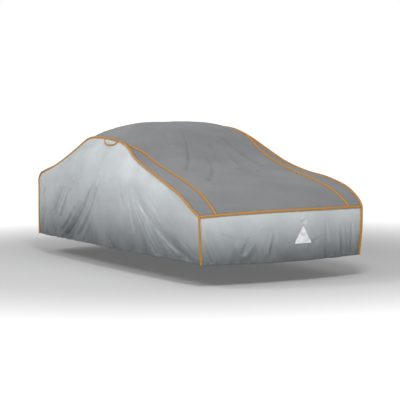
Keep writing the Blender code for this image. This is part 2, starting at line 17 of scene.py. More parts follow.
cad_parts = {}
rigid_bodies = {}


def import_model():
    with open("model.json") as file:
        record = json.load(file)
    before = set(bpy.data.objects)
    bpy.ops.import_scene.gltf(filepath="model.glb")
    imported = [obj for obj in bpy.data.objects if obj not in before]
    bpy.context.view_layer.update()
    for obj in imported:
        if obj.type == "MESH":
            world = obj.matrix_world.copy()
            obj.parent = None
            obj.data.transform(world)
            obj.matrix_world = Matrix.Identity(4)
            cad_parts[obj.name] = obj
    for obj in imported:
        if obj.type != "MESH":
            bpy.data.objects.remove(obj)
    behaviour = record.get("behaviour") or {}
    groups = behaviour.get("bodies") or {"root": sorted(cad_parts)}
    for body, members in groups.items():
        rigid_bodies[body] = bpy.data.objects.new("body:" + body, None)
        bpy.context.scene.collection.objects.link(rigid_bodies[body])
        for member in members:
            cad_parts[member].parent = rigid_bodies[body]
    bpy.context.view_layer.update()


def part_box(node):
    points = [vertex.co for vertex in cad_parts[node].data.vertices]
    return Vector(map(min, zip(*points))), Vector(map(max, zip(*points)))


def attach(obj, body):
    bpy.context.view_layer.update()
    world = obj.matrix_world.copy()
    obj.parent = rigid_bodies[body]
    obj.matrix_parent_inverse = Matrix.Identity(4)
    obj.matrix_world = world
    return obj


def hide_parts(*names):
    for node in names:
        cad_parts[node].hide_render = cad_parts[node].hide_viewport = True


bl_info = {
    "name": "Fitted cover",
    "version": (1, 0, 0),
    "blender": (4, 5, 0),
    "location": "View3D > Sidebar > Cover",
    "description": "Makes the cloth, piping and warning triangles of a fitted half-height cover",
    "category": "Object",
}

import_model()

# The frame's origin, as the fold tables give places
ORIGIN_STATION = 0.200
ORIGIN_HEIGHT = 1.377
DOWN = Vector((0.0, 0.0, -1.0))
REARWARD = Vector((0.0, 1.0, 0.0))
LEFTWARD = Vector((1.0, 0.0, 0.0))
SIDES = ("right", "left")
SIDE_PARTS = ("front", "middle", "rear")
TOP_NODES = ("top_panel_bonnet", "top_panel_windscreen", "top_panel_roof", "top_panel_boot")

# Creases of the side cloth, by station and height. Each runs from its start over its middle to its
# end, and depth is negative for a trough. The columns are
# start, start_height, middle, middle_height, end, end_height, depth, width.
RIGHT_FOLDS = (
    (0.03, 0.88, 0.37, 0.52, 0.86, 0.23, 0.0250, 0.015),
    (0.36, 0.66, 0.70, 0.43, 1.03, 0.25, 0.0190, 0.014),
    (0.80, 0.52, 1.01, 0.36, 1.22, 0.24, 0.0145, 0.013),
    (0.78, 0.77, 0.97, 0.62, 1.16, 0.46, 0.0200, 0.014),
    (0.92, 0.77, 1.13, 0.63, 1.30, 0.48, 0.0180, 0.014),
    (-0.10, 0.84, 0.13, 0.54, 0.46, 0.25, 0.0120, 0.022),
    (0.10, 0.84, 0.50, 0.50, 0.93, 0.25, -0.0200, 0.015),
    (0.55, 0.59, 0.79, 0.42, 1.08, 0.25, -0.0090, 0.013),
    (0.70, 0.75, 0.90, 0.58, 1.05, 0.43, -0.0190, 0.015),
    (0.85, 0.78, 1.06, 0.62, 1.24, 0.46, -0.0190, 0.014),
    (-0.02, 0.92, 0.22, 0.56, 0.60, 0.26, -0.0270, 0.020),
    (0.55, 0.93, 0.61, 0.86, 0.72, 0.75, -0.0125, 0.014),
    (1.40, 0.65, 1.55, 0.55, 1.74, 0.46, 0.0130, 0.017),
    (1.44, 0.75, 1.56, 0.66, 1.71, 0.56, -0.0175, 0.019),
    (1.46, 0.52, 1.60, 0.42, 1.72, 0.32, -0.0165, 0.020),
    (-0.66, 0.84, -1.10, 0.51, -1.70, 0.24, -0.0055, 0.017),
    (-0.74, 0.78, -0.98, 0.53, -1.24, 0.26, 0.0065, 0.016),
    (-0.72, 0.76, -0.90, 0.50, -1.13, 0.26, -0.0115, 0.019),
    (-0.66, 0.80, -0.78, 0.50, -0.88, 0.26, 0.0070, 0.017),
    (-0.62, 0.80, -0.71, 0.50, -0.80, 0.26, -0.0090, 0.017),
    (-0.57, 0.85, -0.54, 0.77, -0.47, 0.69, -0.0045, 0.012),
    (-1.28, 0.40, -1.40, 0.32, -1.54, 0.25, 0.0050, 0.014),
    (-1.30, 0.35, -1.39, 0.30, -1.48, 0.26, -0.0045, 0.012),
    (-1.50, 0.38, -1.62, 0.31, -1.76, 0.25, 0.0050, 0.018),
    (-1.60, 0.42, -1.70, 0.34, -1.82, 0.27, -0.0065, 0.020),
    (-1.03, 0.40, -1.08, 0.33, -1.14, 0.25, -0.0050, 0.011),
    (-0.86, 0.82, -1.12, 0.68, -1.34, 0.50, -0.0030, 0.020),
    (-0.12, 0.34, -0.19, 0.28, -0.26, 0.20, -0.0155, 0.014),
    (-0.48, 0.37, -0.56, 0.29, -0.64, 0.20, -0.0085, 0.015),
)
LEFT_FOLDS = (
    (-0.02, 0.90, 0.30, 0.58, 0.92, 0.21, -0.015, 0.032),
    (0.14, 0.82, 0.44, 0.54, 0.98, 0.24, 0.009, 0.036),
    (0.62, 0.82, 0.88, 0.52, 1.20, 0.21, -0.014, 0.032),
    (1.02, 0.80, 1.30, 0.52, 1.46, 0.23, -0.010, 0.030),
    (1.36, 0.76, 1.50, 0.54, 1.62, 0.30, -0.010, 0.032),
    (-0.60, 0.84, -0.70, 0.54, -0.90, 0.21, -0.011, 0.030),
    (-0.64, 0.84, -0.88, 0.52, -1.16, 0.21, -0.014, 0.030),
    (-0.70, 0.86, -1.14, 0.54, -1.62, 0.22, -0.015, 0.032),
    (-1.16, 0.50, -1.44, 0.36, -1.74, 0.22, -0.010, 0.026),
    (-0.08, 0.38, -0.16, 0.29, -0.24, 0.20, -0.008, 0.028),
)
# Creases of the front and rear cloth, by width and height
FRONT_FOLDS = (
    (-0.79, 0.58, -0.76, 0.42, -0.68, 0.23, 0.0120, 0.016),
    (-0.81, 0.56, -0.79, 0.40, -0.72, 0.22, -0.0140, 0.016),
    (-0.73, 0.52, -0.70, 0.38, -0.62, 0.22, -0.0140, 0.024),
    (-0.65, 0.46, -0.59, 0.43, -0.53, 0.38, -0.0095, 0.034),
    (-0.54, 0.37, -0.51, 0.31, -0.49, 0.24, -0.0120, 0.020),
    (-0.38, 0.43, -0.40, 0.36, -0.43, 0.29, -0.0140, 0.018),
    (-0.32, 0.38, -0.36, 0.32, -0.40, 0.26, 0.0120, 0.018),
    (-0.30, 0.33, -0.32, 0.28, -0.35, 0.23, -0.0120, 0.016),
    (-0.30, 0.29, -0.28, 0.26, -0.26, 0.21, 0.0095, 0.016),
    (-0.16, 0.46, -0.19, 0.37, -0.21, 0.27, 0.0120, 0.020),
    (-0.12, 0.45, -0.15, 0.36, -0.17, 0.26, -0.0110, 0.024),
    (-0.28, 0.47, -0.22, 0.47, -0.15, 0.45, -0.0090, 0.022),
    (-0.02, 0.42, 0.11, 0.31, 0.26, 0.36, -0.0130, 0.022),
    (0.128, 0.535, 0.140, 0.530, 0.152, 0.525, -0.0200, 0.022),
    (0.40, 0.54, 0.41, 0.38, 0.42, 0.21, -0.0130, 0.018),
    (0.53, 0.49, 0.54, 0.35, 0.55, 0.22, 0.0095, 0.016),
    (0.57, 0.50, 0.58, 0.36, 0.60, 0.24, -0.0120, 0.016),
    (0.61, 0.46, 0.62, 0.34, 0.63, 0.22, 0.0090, 0.018),
    (0.70, 0.52, 0.70, 0.38, 0.71, 0.22, -0.0120, 0.022),
)
REAR_FOLDS = (
    (-0.50, 0.64, -0.57, 0.52, -0.68, 0.38, -0.012, 0.026),
    (-0.42, 0.64, -0.50, 0.42, -0.58, 0.24, 0.008, 0.030),
    (-0.34, 0.62, -0.39, 0.42, -0.43, 0.21, -0.012, 0.026),
    (-0.24, 0.46, -0.26, 0.34, -0.28, 0.21, -0.007, 0.024),
    (-0.10, 0.42, -0.11, 0.32, -0.13, 0.21, -0.008, 0.024),
    (0.08, 0.40, 0.10, 0.30, 0.11, 0.21, -0.007, 0.022),
    (0.20, 0.48, 0.21, 0.34, 0.24, 0.21, -0.010, 0.026),
    (0.33, 0.62, 0.38, 0.42, 0.43, 0.21, -0.011, 0.026),
    (0.44, 0.64, 0.52, 0.46, 0.60, 0.26, 0.008, 0.030),
    (0.50, 0.64, 0.58, 0.50, 0.68, 0.34, -0.011, 0.026),
)
# Creases of the top cloth, by width and station
TOP_FOLDS = (
    (-0.08, -0.18, -0.21, -0.55, -0.44, -0.96, -0.0190, 0.018),
    (-0.06, -0.62, -0.16, -0.95, -0.37, -1.28, -0.0230, 0.030),
    (0.11, -0.36, 0.06, -0.66, -0.03, -0.98, -0.0220, 0.036),
    (0.20, -0.48, 0.17, -0.78, 0.12, -1.14, -0.0200, 0.021),
    (0.25, -0.30, 0.34, -0.54, 0.36, -0.92, -0.0190, 0.023),
    (0.15, -0.40, 0.12, -0.66, 0.06, -1.00, 0.0120, 0.022),
    (0.27, -0.46, 0.27, -0.72, 0.24, -1.06, 0.0120, 0.025),
    (-0.27, -0.16, -0.30, -0.28, -0.31, -0.38, -0.0120, 0.018),
    (-0.52, -0.20, -0.56, -0.50, -0.60, -0.80, -0.0120, 0.036),
    (-0.34, 1.05, -0.46, 1.36, -0.54, 1.72, -0.008, 0.040),
    (-0.14, 1.20, -0.20, 1.42, -0.30, 1.66, -0.005, 0.036),
    (0.34, 1.10, 0.44, 1.40, 0.52, 1.72, -0.008, 0.040),
    (0.10, 1.30, 0.16, 1.50, 0.18, 1.74, 0.005, 0.040),
)
# Small folds that spread side by side between the creases. Each row starts them along one line and
# ends them along another, both given by their first and last points. The columns are
# start, start_height, last_start, last_start_height, end, end_height, last_end, last_end_height,
# count, depth, width.
RIGHT_SPREADS = (
    (0.02, 0.80, 0.10, 0.56, 1.02, 0.22, 0.40, 0.21, 9, 0.0022, 0.013),
    (0.62, 0.80, 1.22, 0.72, 1.16, 0.24, 1.62, 0.26, 12, 0.0026, 0.013),
    (1.30, 0.76, 1.72, 0.70, 1.58, 0.24, 1.80, 0.30, 6, 0.0028, 0.015),
    (-0.66, 0.78, -0.70, 0.86, -0.72, 0.21, -1.70, 0.27, 12, 0.0022, 0.012),
    (-0.90, 0.48, -1.36, 0.46, -1.06, 0.20, -1.76, 0.22, 11, 0.0026, 0.012),
    (-0.52, 0.60, 0.04, 0.50, -0.66, 0.20, 0.20, 0.20, 9, 0.0022, 0.017),
)
LEFT_SPREADS = (
    (0.02, 0.80, 0.10, 0.56, 1.02, 0.22, 0.40, 0.21, 8, 0.0040, 0.017),
    (0.62, 0.80, 1.30, 0.72, 1.10, 0.24, 1.66, 0.26, 12, 0.0042, 0.017),
    (-0.64, 0.78, -0.70, 0.86, -0.70, 0.21, -1.66, 0.27, 14, 0.0044, 0.016),
    (-0.86, 0.46, -1.32, 0.46, -1.02, 0.20, -1.74, 0.22, 9, 0.0040, 0.015),
    (-0.48, 0.60, 0.06, 0.50, -0.60, 0.20, 0.22, 0.20, 8, 0.0030, 0.019),
)
FRONT_SPREADS = (
    (-0.76, 0.50, -0.30, 0.42, -0.62, 0.20, -0.06, 0.20, 12, 0.0022, 0.013),
    (0.24, 0.44, 0.78, 0.52, 0.26, 0.20, 0.76, 0.20, 12, 0.0022, 0.013),
)
REAR_SPREADS = (
    (-0.62, 0.62, -0.20, 0.60, -0.74, 0.26, -0.24, 0.20, 11, 0.0042, 0.016),
    (0.20, 0.60, 0.62, 0.62, 0.24, 0.20, 0.74, 0.26, 11, 0.0042, 0.016),
    (-0.20, 0.46, 0.20, 0.46, -0.20, 0.20, 0.22, 0.20, 6, 0.0030, 0.018),
)
TOP_SPREADS = (
    (-0.10, -0.16, 0.34, -0.16, -0.40, -0.86, 0.46, -1.00, 9, 0.0016, 0.022),
    (-0.50, 1.02, 0.50, 1.02, -0.58, 1.72, 0.58, 1.72, 9, 0.0030, 0.028),
)


def linear(code):
    """The linear colour of an sRGB hex code."""
    channels = [int(code[i:i + 2], 16) / 255.0 for i in (1, 3, 5)]
    return [c / 12.92 if c <= 0.04045 else ((c + 0.055) / 1.055) ** 2.4 for c in channels]


def color_property(name, code, description):
    """A colour that a user may change, given as an sRGB hex code."""
    return bpy.props.FloatVectorProperty(
        name=name, description=description, subtype="COLOR", size=3, min=0.0, max=1.0,
        default=linear(code))


def length_property(name, metres, description):
    """A length that a user may change."""
    return bpy.props.FloatProperty(
        name=name, description=description, subtype="DISTANCE", unit="LENGTH", min=0.0, default=metres)


class CoverSizes(bpy.types.PropertyGroup):
    """Sizes of the cloth, its hem, its seams and its piping."""

    silver_thickness: length_property("Silver cloth", 0.0015, "Thickness of the silver cloth")
    top_thickness: length_property("Top cloth", 0.003, "Thickness of the padded grey cloth")
    flap_thickness: length_property("Flap cloth", 0.0012, "Thickness of a vent flap")
    side_step: length_property("Side step", 0.0100, "Distance between the points of the side cloth")
    end_step: length_property("End step", 0.0085, "Distance between the points of the end cloths")
    top_step: length_property("Top step", 0.0140, "Distance between the points of the top cloth")
    hem_width: length_property("Hem", 0.024, "Width of the turned hem with its elastic")
    hem_fullness: length_property("Hem fullness", 0.0022, "How far the turned hem stands out")
    gather_depth: length_property("Gathers", 0.0026, "Depth of the gathers at the hem")
    gather_pitch: length_property("Gather pitch", 0.052, "Mean distance between two gathers")
    pucker_depth: length_property("Pucker", 0.0010, "Depth of the puckers along a seam")
    pucker_pitch: length_property("Pucker pitch", 0.034, "Mean distance between two puckers")
    unevenness: length_property("Unevenness", 0.0040, "How far the cloth rises and dips between folds")
    piping_radius: length_property("Piping", 0.0104, "Half the height of the seams' piping")
    piping_width: length_property("Piping width", 0.0100, "Half the width of the seams' piping")
    piping_lift: length_property("Piping lift", 0.0025, "How far the piping stands off the seam's middle")
    vent_piping_radius: length_property("Vent piping", 0.0054, "Half the height of the vents' piping")
    vent_piping_width: length_property("Vent piping width", 0.0062, "Half the width of the vents' piping")
    stitch_inset: length_property("Stitch inset", 0.009, "Distance of the topstitching from the piping")


class CoverFinishes(bpy.types.PropertyGroup):
    """Colours of the cloths, tape, thread, film and floor."""

    # Painted shade: the silver is drawn lighter high up and darker towards the hem, in place of the shade
    # and darker reflections on the lower cloth
    silver: color_property("Silver", "#CDD2D4", "Silver coating, where it is clean")
    silver_shaded: color_property("Silver near the hem", "#666C70", "Silver coating, dulled near the hem")
    grey: color_property("Grey", "#6A6C6F", "Grey top cloth")
    grey_worn: color_property("Worn grey", "#787A7C", "Grey top cloth where it has rubbed")
    back: color_property("Back", "#B9BBBC", "Uncoated back of the cloth")
    silver_thread: color_property("Silver thread", "#6F7375", "Stitches in the silver cloth")
    grey_thread: color_property("Grey thread", "#5C5E60", "Stitches in the grey cloth")
    orange: color_property("Orange", "#C4872C", "Orange piping tape")
    orange_worn: color_property("Worn orange", "#AC772D", "Orange tape in its folds")
    film: color_property("Film", "#F4F6F8", "Reflective film")
    film_walls: color_property("Film walls", "#C4C8CB", "Walls between the cells of the film")
    floor: color_property("Floor", "#B8B8B8", "Pale studio floor")


# Grids read back from the frame

# Points closer than this are one point
WELD = 0.00001
# Faces that meet at more than this angle are on different sides of a solid
EDGE_ANGLE = math.radians(55.0)
# A line inside the cover tells which way is out. This is its height, and it keeps this share of a
# point's station, so that it lies across from the point
INSIDE_HEIGHT = 0.48
INSIDE_SHARE = 0.5


def merged_mesh(node):
    """A welded copy of one solid's mesh."""
    mesh = bmesh.new()
    mesh.from_mesh(bpy.data.objects[node].data)
    bmesh.ops.remove_doubles(mesh, verts=mesh.verts, dist=WELD)
    return mesh


def smooth_regions(mesh):
    """The faces between sharp edges, as lists with the largest area first."""
    seen = set()
    regions = []
    for first in mesh.faces:
        if first in seen:
            continue
        seen.add(first)
        region = [first]
        for face in region:
            for edge in face.edges:
                if len(edge.link_faces) != 2 or edge.calc_face_angle() > EDGE_ANGLE:
                    continue
                for other in edge.link_faces:
                    if other not in seen:
                        seen.add(other)
                        region.append(other)
        regions.append(region)
    return sorted(regions, key=lambda faces: -sum(face.calc_area() for face in faces))


def inside_point(point):
    """The point on the line inside the cover that lies across from a point of the cloth."""
    station = point.y + ORIGIN_STATION
    return Vector((0.0, INSIDE_SHARE * station - ORIGIN_STATION, INSIDE_HEIGHT - ORIGIN_HEIGHT))


def outwardness(faces):
    """How squarely faces look out of the cover, weighed by their areas."""
    total = 0.0
    for face in faces:
        centre = face.calc_center_median()
        total += face.normal.dot(centre - inside_point(centre)) * face.calc_area()
    return total


def keep_outer_skin(mesh):
    """Leaves only the outer side of a sheet solid's mesh."""
    # A sheet's two sides are its largest regions
    outer = set(max(smooth_regions(mesh)[:2], key=outwardness))
    bmesh.ops.delete(mesh, geom=[face for face in mesh.faces if face not in outer], context="FACES")


def steps_from(sources):
    """How many edges lie between each vertex and the nearest of the sources."""
    steps = {vertex: 0 for vertex in sources}
    ring = list(sources)
    while ring:
        after = []
        for vertex in ring:
            for edge in vertex.link_edges:
                other = edge.other_vert(vertex)
                if other not in steps:
                    steps[other] = steps[vertex] + 1
                    after.append(other)
        ring = after
    return steps


def boundary_loop(mesh):
    """The vertices round the edge of an open mesh, in order."""
    start = next(vertex for vertex in mesh.verts if vertex.is_boundary)
    loop = [start]
    before = None
    while True:
        here = loop[-1]
        ways = [edge.other_vert(here) for edge in here.link_edges if edge.is_boundary]
        after = ways[0] if ways[0] is not before else ways[1]
        if after is start:
            return loop
        before = here
        loop.append(after)


def corner_places(loop, point_count):
    """The places in a grid's boundary loop where its four corners stand."""
    count = len(loop)

    def straightness(index):
        """1 where the loop runs straight on, and 0 at a square corner."""
        before = (loop[index].co - loop[index - 1].co).normalized()
        return before.dot((loop[(index + 1) % count].co - loop[index].co).normalized())

    # The loop's length and the number of points give the grid's two sizes, so the four corners stand at
    # known places from each other, and the loop turns most where all four are right
    half = count // 2
    longer = round((half + math.sqrt(half * half - 4 * (point_count - half - 1))) / 2)
    places = (0, longer, half, half + longer)
    turns = [straightness(index) for index in range(count)]
    first = min(range(count), key=lambda start: sum(turns[(start + place) % count] for place in places))
    return sorted((first + place) % count for place in places)


def corners_in_order(loop, corners, down, along):
    """The corners from the first row's first point on, and which way round the loop they follow."""
    # Of the eight ways round, the one whose rows run down and whose columns run along is kept
    best = None
    for first in range(4):
        for way in (1, -1):
            order = [corners[(first + way * k) % 4] for k in range(4)]
            near_left, near_right, far_right, far_left = (loop[i].co for i in order)
            score = (far_left + far_right - near_left - near_right).dot(down)
            score += (near_right + far_right - near_left - far_left).dot(along)
            if best is None or score > best[0]:
                best = (score, order, way)
    return best[1:]


def loop_stretch(loop, start, end, way):
    """The loop's vertices from one corner to another."""
    stretch = [loop[start]]
    index = start
    while index != end:
        index = (index + way) % len(loop)
        stretch.append(loop[index])
    return stretch


def skin_grid(node, down, along):
    """The outer skin of a sheet solid as a grid of points: rows run down, and columns along."""
    mesh = merged_mesh(node)
    keep_outer_skin(mesh)
    loop = boundary_loop(mesh)
    corners = corner_places(loop, len(mesh.verts))
    order, way = corners_in_order(loop, corners, down, along)
    rows = steps_from(loop_stretch(loop, order[0], order[1], way))
    columns = steps_from(loop_stretch(loop, order[0], order[3], -way))
    grid = np.full((max(rows.values()) + 1, max(columns.values()) + 1, 3), np.nan)
    for vertex in mesh.verts:
        grid[rows[vertex], columns[vertex]] = vertex.co
    if np.isnan(grid).any():
        raise RuntimeError(f"{node} isn't a grid")
    mesh.free()
    return grid


def joined_grid(nodes, down, along):
    """One grid for a cloth whose solids lie end to end along the cover."""
    axis = 0 if down.y else 1
    grids = [skin_grid(node, down, along) for node in nodes]
    joined = grids[0]
    for grid in grids[1:]:
        if axis == 0:
            seam = (joined[-1:] + grid[:1]) / 2.0
            joined = np.concatenate([joined[:-1], seam, grid[1:]], axis=0)
        else:
            seam = (joined[:, -1:] + grid[:, :1]) / 2.0
            joined = np.concatenate([joined[:, :-1], seam, grid[:, 1:]], axis=1)
    return joined


def centre_line(node):
    """The points along the middle of a piping solid."""
    mesh = merged_mesh(node)
    # A tube's smallest region is the cap at one of its ends
    cap = smooth_regions(mesh)[-1]
    steps = steps_from({vertex for face in cap for vertex in face.verts})
    rings = {}
    for vertex, step in steps.items():
        rings.setdefault(step, []).append(np.array(vertex.co))
    line = np.array([np.mean(rings[step], axis=0) for step in sorted(rings)])
    mesh.free()
    return line


def strip_grid(side):
    """A bonnet strip's grid, drawn on past its solid's tip to where its two seams meet."""
    grid = skin_grid(f"bonnet_strip_{side}", REARWARD, LEFTWARD)
    inner, outer = (centre_line(f"{kind}_piping_{side}") for kind in ("bonnet", "side"))
    beyond = inner[inner[:, 1] > grid[-1, :, 1].max()]
    rows = []
    for point in beyond[np.argsort(beyond[:, 1])]:
        facing = outer[np.argmin(np.abs(outer[:, 1] - point[1]))]
        right, left = sorted((point, facing), key=lambda place: place[0])
        rows.append([right + (left - right) * share for share in np.linspace(0.0, 1.0, grid.shape[1])])
    return np.concatenate([grid, np.array(rows)])


# Finer grids

# A grid is first drawn this many times denser, to measure along it
DENSITY = 10
# The rows near an end keep to this share of a short run
NEAR_SHARE = 0.45
# The rows near an end are taken to reach at least this far, so that nothing is divided by zero
LEAST_REACH = 0.001
# A sewn edge is drawn on by this much, so that it ends inside the piping
SEAM_TUCK = 0.0060


def catmull(rows, places):
    """Rows of a grid at fractional row numbers, on Catmull-Rom curves."""
    last = len(rows) - 1
    index = np.clip(np.floor(places).astype(int), 0, last - 1)
    share = (places - index).reshape((-1,) + (1,) * (rows.ndim - 1))
    padded = np.concatenate([[2 * rows[0] - rows[1]], rows, [2 * rows[-1] - rows[-2]]])
    before, here, after, beyond = (padded[index + k] for k in range(4))
    slope_in = (after - before) / 2
    slope_out = (beyond - here) / 2
    drop = here - after
    cubic = 2 * drop + slope_in + slope_out
    square = -3 * drop - 2 * slope_in - slope_out
    return ((cubic * share + square) * share + slope_in) * share + here


def run_down(grid):
    """The distance of each point from the grid's first row, along its column."""
    steps = np.linalg.norm(np.diff(grid, axis=0), axis=2)
    return np.concatenate([np.zeros((1, grid.shape[1])), np.cumsum(steps, axis=0)])


def refine_rows(grid, step, near_start=(0.0,), near_end=(0.0,)):
    """The same surface with new rows: near its ends at set distances, and evenly between them."""
    dense = catmull(grid, np.linspace(0, len(grid) - 1, (len(grid) - 1) * DENSITY + 1))
    run = run_down(dense)
    start, end = near_start[-1], near_end[-1]
    count = max(int(round((run[-1].mean() - start - end) / step)), 1)
    shares = np.arange(1, count) / count
    offset = np.concatenate([near_start, start * (1 - shares) - end * shares, -np.array(near_end[::-1])])
    stretch = np.concatenate([np.zeros(len(near_start)), shares, np.ones(len(near_end))])
    fine = np.empty((len(offset), grid.shape[1], 3))
    for column in range(grid.shape[1]):
        length = run[-1, column]
        squeeze = min(1.0, NEAR_SHARE * length / max(start, end, LEAST_REACH))
        wanted = offset * squeeze + stretch * length
        for axis in range(3):
            fine[:, column, axis] = np.interp(wanted, run[:, column], dense[:, column, axis])
    return fine


def turned(grid):
    """A grid with its rows and columns swapped."""
    return np.swapaxes(grid, 0, 1)


def tuck_edges(grid, sewn):
    """Draws the sewn edges on, so that they end inside the piping."""
    grid = grid.copy()
    top, bottom, left, right = sewn
    for rows, first, last in ((grid, top, bottom), (turned(grid), left, right)):
        for wanted, here, inner in ((first, 0, 1), (last, -1, -2)):
            if wanted:
                way = rows[here] - rows[inner]
                rows[here] += way / np.linalg.norm(way, axis=1, keepdims=True) * SEAM_TUCK
    return grid


def outward_normals(points):
    """The normals of a grid of points, turned out of the cover."""
    normals = np.cross(np.gradient(points, axis=0), np.gradient(points, axis=1))
    normals /= np.linalg.norm(normals, axis=2, keepdims=True)
    halfway = (points.shape[0] // 2, points.shape[1] // 2)
    middle = Vector(points[halfway])
    facing = Vector(normals[halfway]).dot(middle - inside_point(middle))
    return normals if facing > 0.0 else -normals


# Relief of the cloth, in metres: folds, gathers, puckers and unevenness

# A fold runs along a curve of this many points, and sets in over this share of its length
FOLD_POINTS = 12
FOLD_RISE = 0.13
# It starts this narrow and ends this wide, in shares of its stated width. Its depth grows with its
# width, up to this share of its stated depth
FOLD_START = 0.4
FOLD_END = 1.2
FOLD_FULL = 0.85
# The cloth that a fold takes up swells beside it. The swelling has this share of the fold's depth, and
# it lies this many fold widths to one side and is this many wide
SHOULDER_DEPTH = 0.28
SHOULDER_OFFSET = 1.7
SHOULDER_SPREAD = 1.35
# The small folds of a spread are uneven, each with its own value between two: its place in its part of
# the row, its sag, how late it starts and how early it ends, as shares of its length, and its share of
# the stated depth and width
SPREAD_PLACE = (0.2, 0.8)
SPREAD_SAG = (-0.09, 0.09)
SPREAD_LATE = (0.0, 0.45)
SPREAD_EARLY = (0.0, 0.15)
SPREAD_DEPTH = (0.45, 1.0)
SPREAD_WIDTH = (0.8, 1.35)
# Waves along an edge are uneven too, in their distances, as shares of their pitch, and in their heights
WAVE_SPACING = (0.5, 1.5)
WAVE_HEIGHT = (0.25, 1.0)
# Soft noise is moved on by this much for each seed. It has this many layers, each this many times finer
# than the one before and weaker by that number to this power
SEED_SHIFT = (7.1, 3.7, 5.3)
NOISE_LAYERS = 3
NOISE_FINER = 2.0
NOISE_FALL = 1.0
# What has no seam or hem is taken to be this far from one
FAR_AWAY = 10.0
# Rows of points stand this far from a sewn edge, and from a hem
SEAM_ROWS = (0.0, 0.006, 0.014, 0.024)
HEM_ROWS = (0.0, 0.004, 0.011, 0.018, 0.022, 0.026, 0.034)
# Folds set in over this distance from a seam, and the unevenness over this
FOLD_EASE = 0.07
UNEVEN_EASE = 0.12
# At the hem the folds keep this share of their depth, and all of it this far above
HEM_SHARE = 0.6
HEM_EASE = 0.10
# Cloth near its first seam, the top one of a skirt and the front one of the top cloth, is pulled smooth.
# It keeps this share of its unevenness there, and has all of it past this share of its way
STRETCHED_SHARE = 0.1
STRETCHED_DROP = 0.6
# The unevenness is soft lumps, each kind with its size and its share of the height
LUMPS = ((0.34, 1.0), (0.11, 0.45))
# Puckers die away from a seam over this distance, and the cloth dips this deep beside it, this wide
PUCKER_REACH = 0.022
SEAM_DIP = 0.0022
SEAM_DIP_WIDTH = 0.010
# The elastic draws the hem into waves. Each kind has its share of the gathers' depth, its reach above
# the hem and its share of the gathers' pitch, and they fade out this close to a corner
GATHERS = ((1.0, 0.060, 1.0), (0.8, 0.130, 2.1), (0.45, 0.028, 0.45))
CORNER_FADE = 0.05
# The stitches that hold the hem press the cloth in this deep, this wide
HEM_DIP = 0.0012
HEM_DIP_WIDTH = 0.004
# A warning triangle is backed by a patch of this radius that lies flat and brings the cloth up to the
# film. The folds set in again over this distance past it
PATCH_RADIUS = 0.104
PATCH_EASE = 0.045
PATCH_HEIGHT = 0.0024


def smoothstep(value):
    """Rises softly from 0 to 1 as the value does."""
    value = np.clip(value, 0.0, 1.0)
    return value * value * (3.0 - 2.0 * value)


def fold_relief(folds, first, second):
    """The relief of a table of folds: each is a trough or ridge with a soft shoulder beside it."""
    total = np.zeros_like(first)
    for start, start_height, middle, middle_height, end, end_height, depth, width in folds:
        ends = np.array([(start, start_height), (middle, middle_height), (end, end_height)])
        control = 2.0 * ends[1] - (ends[0] + ends[2]) / 2.0
        share = np.linspace(0.0, 1.0, FOLD_POINTS)[:, None]
        path = (1 - share) ** 2 * ends[0] + 2 * share * (1 - share) * control + share ** 2 * ends[2]
        nearest = np.full(first.shape, np.inf)
        signed = np.zeros_like(first)
        along = np.zeros_like(first)
        for leg, (a, b) in enumerate(zip(path, path[1:])):
            run = b - a
            x, y = first - a[0], second - a[1]
            part = np.clip((x * run[0] + y * run[1]) / run.dot(run), 0.0, 1.0)
            distance = np.hypot(x - part * run[0], y - part * run[1])
            closer = distance < nearest
            nearest = np.where(closer, distance, nearest)
            signed = np.where(closer, np.sign(run[0] * y - run[1] * x) * distance, signed)
            along = np.where(closer, (leg + part) / (FOLD_POINTS - 1), along)
        fan = FOLD_START + (FOLD_END - FOLD_START) * along
        spread = width * fan
        trough = np.exp(-(nearest / spread) ** 2)
        shoulder = np.exp(-((signed - SHOULDER_OFFSET * spread) / (SHOULDER_SPREAD * spread)) ** 2)
        rise = smoothstep(along / FOLD_RISE) * np.minimum(fan, FOLD_FULL)
        total += depth * rise * (trough - SHOULDER_DEPTH * shoulder)
    return total


def spread_folds(spreads, seed):
    """The rows of small folds that a table of spreads stands for, as uneven as hand-laid cloth."""
    rng = np.random.RandomState(seed)
    folds = []
    for row in spreads:
        starts, ends = np.array(row[0:4]).reshape(2, 2), np.array(row[4:8]).reshape(2, 2)
        count, depth, width = row[8:]
        for index in range(count):
            share = (index + rng.uniform(*SPREAD_PLACE)) / count
            start = starts[0] + (starts[1] - starts[0]) * share
            end = ends[0] + (ends[1] - ends[0]) * share
            run = end - start
            sag = np.array([-run[1], run[0]]) * rng.uniform(*SPREAD_SAG)
            first = start + run * rng.uniform(*SPREAD_LATE)
            last = end - run * rng.uniform(*SPREAD_EARLY)
            middle = (first + last) / 2.0 + sag
            rise = depth * rng.uniform(*SPREAD_DEPTH) * (1.0 if index % 2 else -1.0)
            folds.append((*first, *middle, *last, rise, width * rng.uniform(*SPREAD_WIDTH)))
    return tuple(folds)


def ripple(run, pitch, seed):
    """An uneven row of waves along one distance, from -1 to 1."""
    rng = np.random.RandomState(seed)
    count = int(run.max() / pitch) + 3
    crests = np.cumsum(pitch * rng.uniform(*WAVE_SPACING, count)) - pitch
    heights = rng.uniform(*WAVE_HEIGHT, count) * np.where(np.arange(count) % 2, 1.0, -1.0)
    share = np.interp(run, crests, np.arange(count, dtype=float))
    index = np.clip(share.astype(int), 0, count - 2)
    blend = smoothstep(share - index)
    return heights[index] * (1.0 - blend) + heights[index + 1] * blend


def noise_field(points, size, seed):
    """Soft noise over points, with lumps of one size."""
    shift = Vector([seed * part for part in SEED_SHIFT])
    flat = points.reshape(-1, 3) / size
    values = [noise.fractal(Vector(point) + shift, NOISE_FALL, NOISE_FINER, NOISE_LAYERS)
              for point in flat]
    return np.array(values).reshape(points.shape[:2])


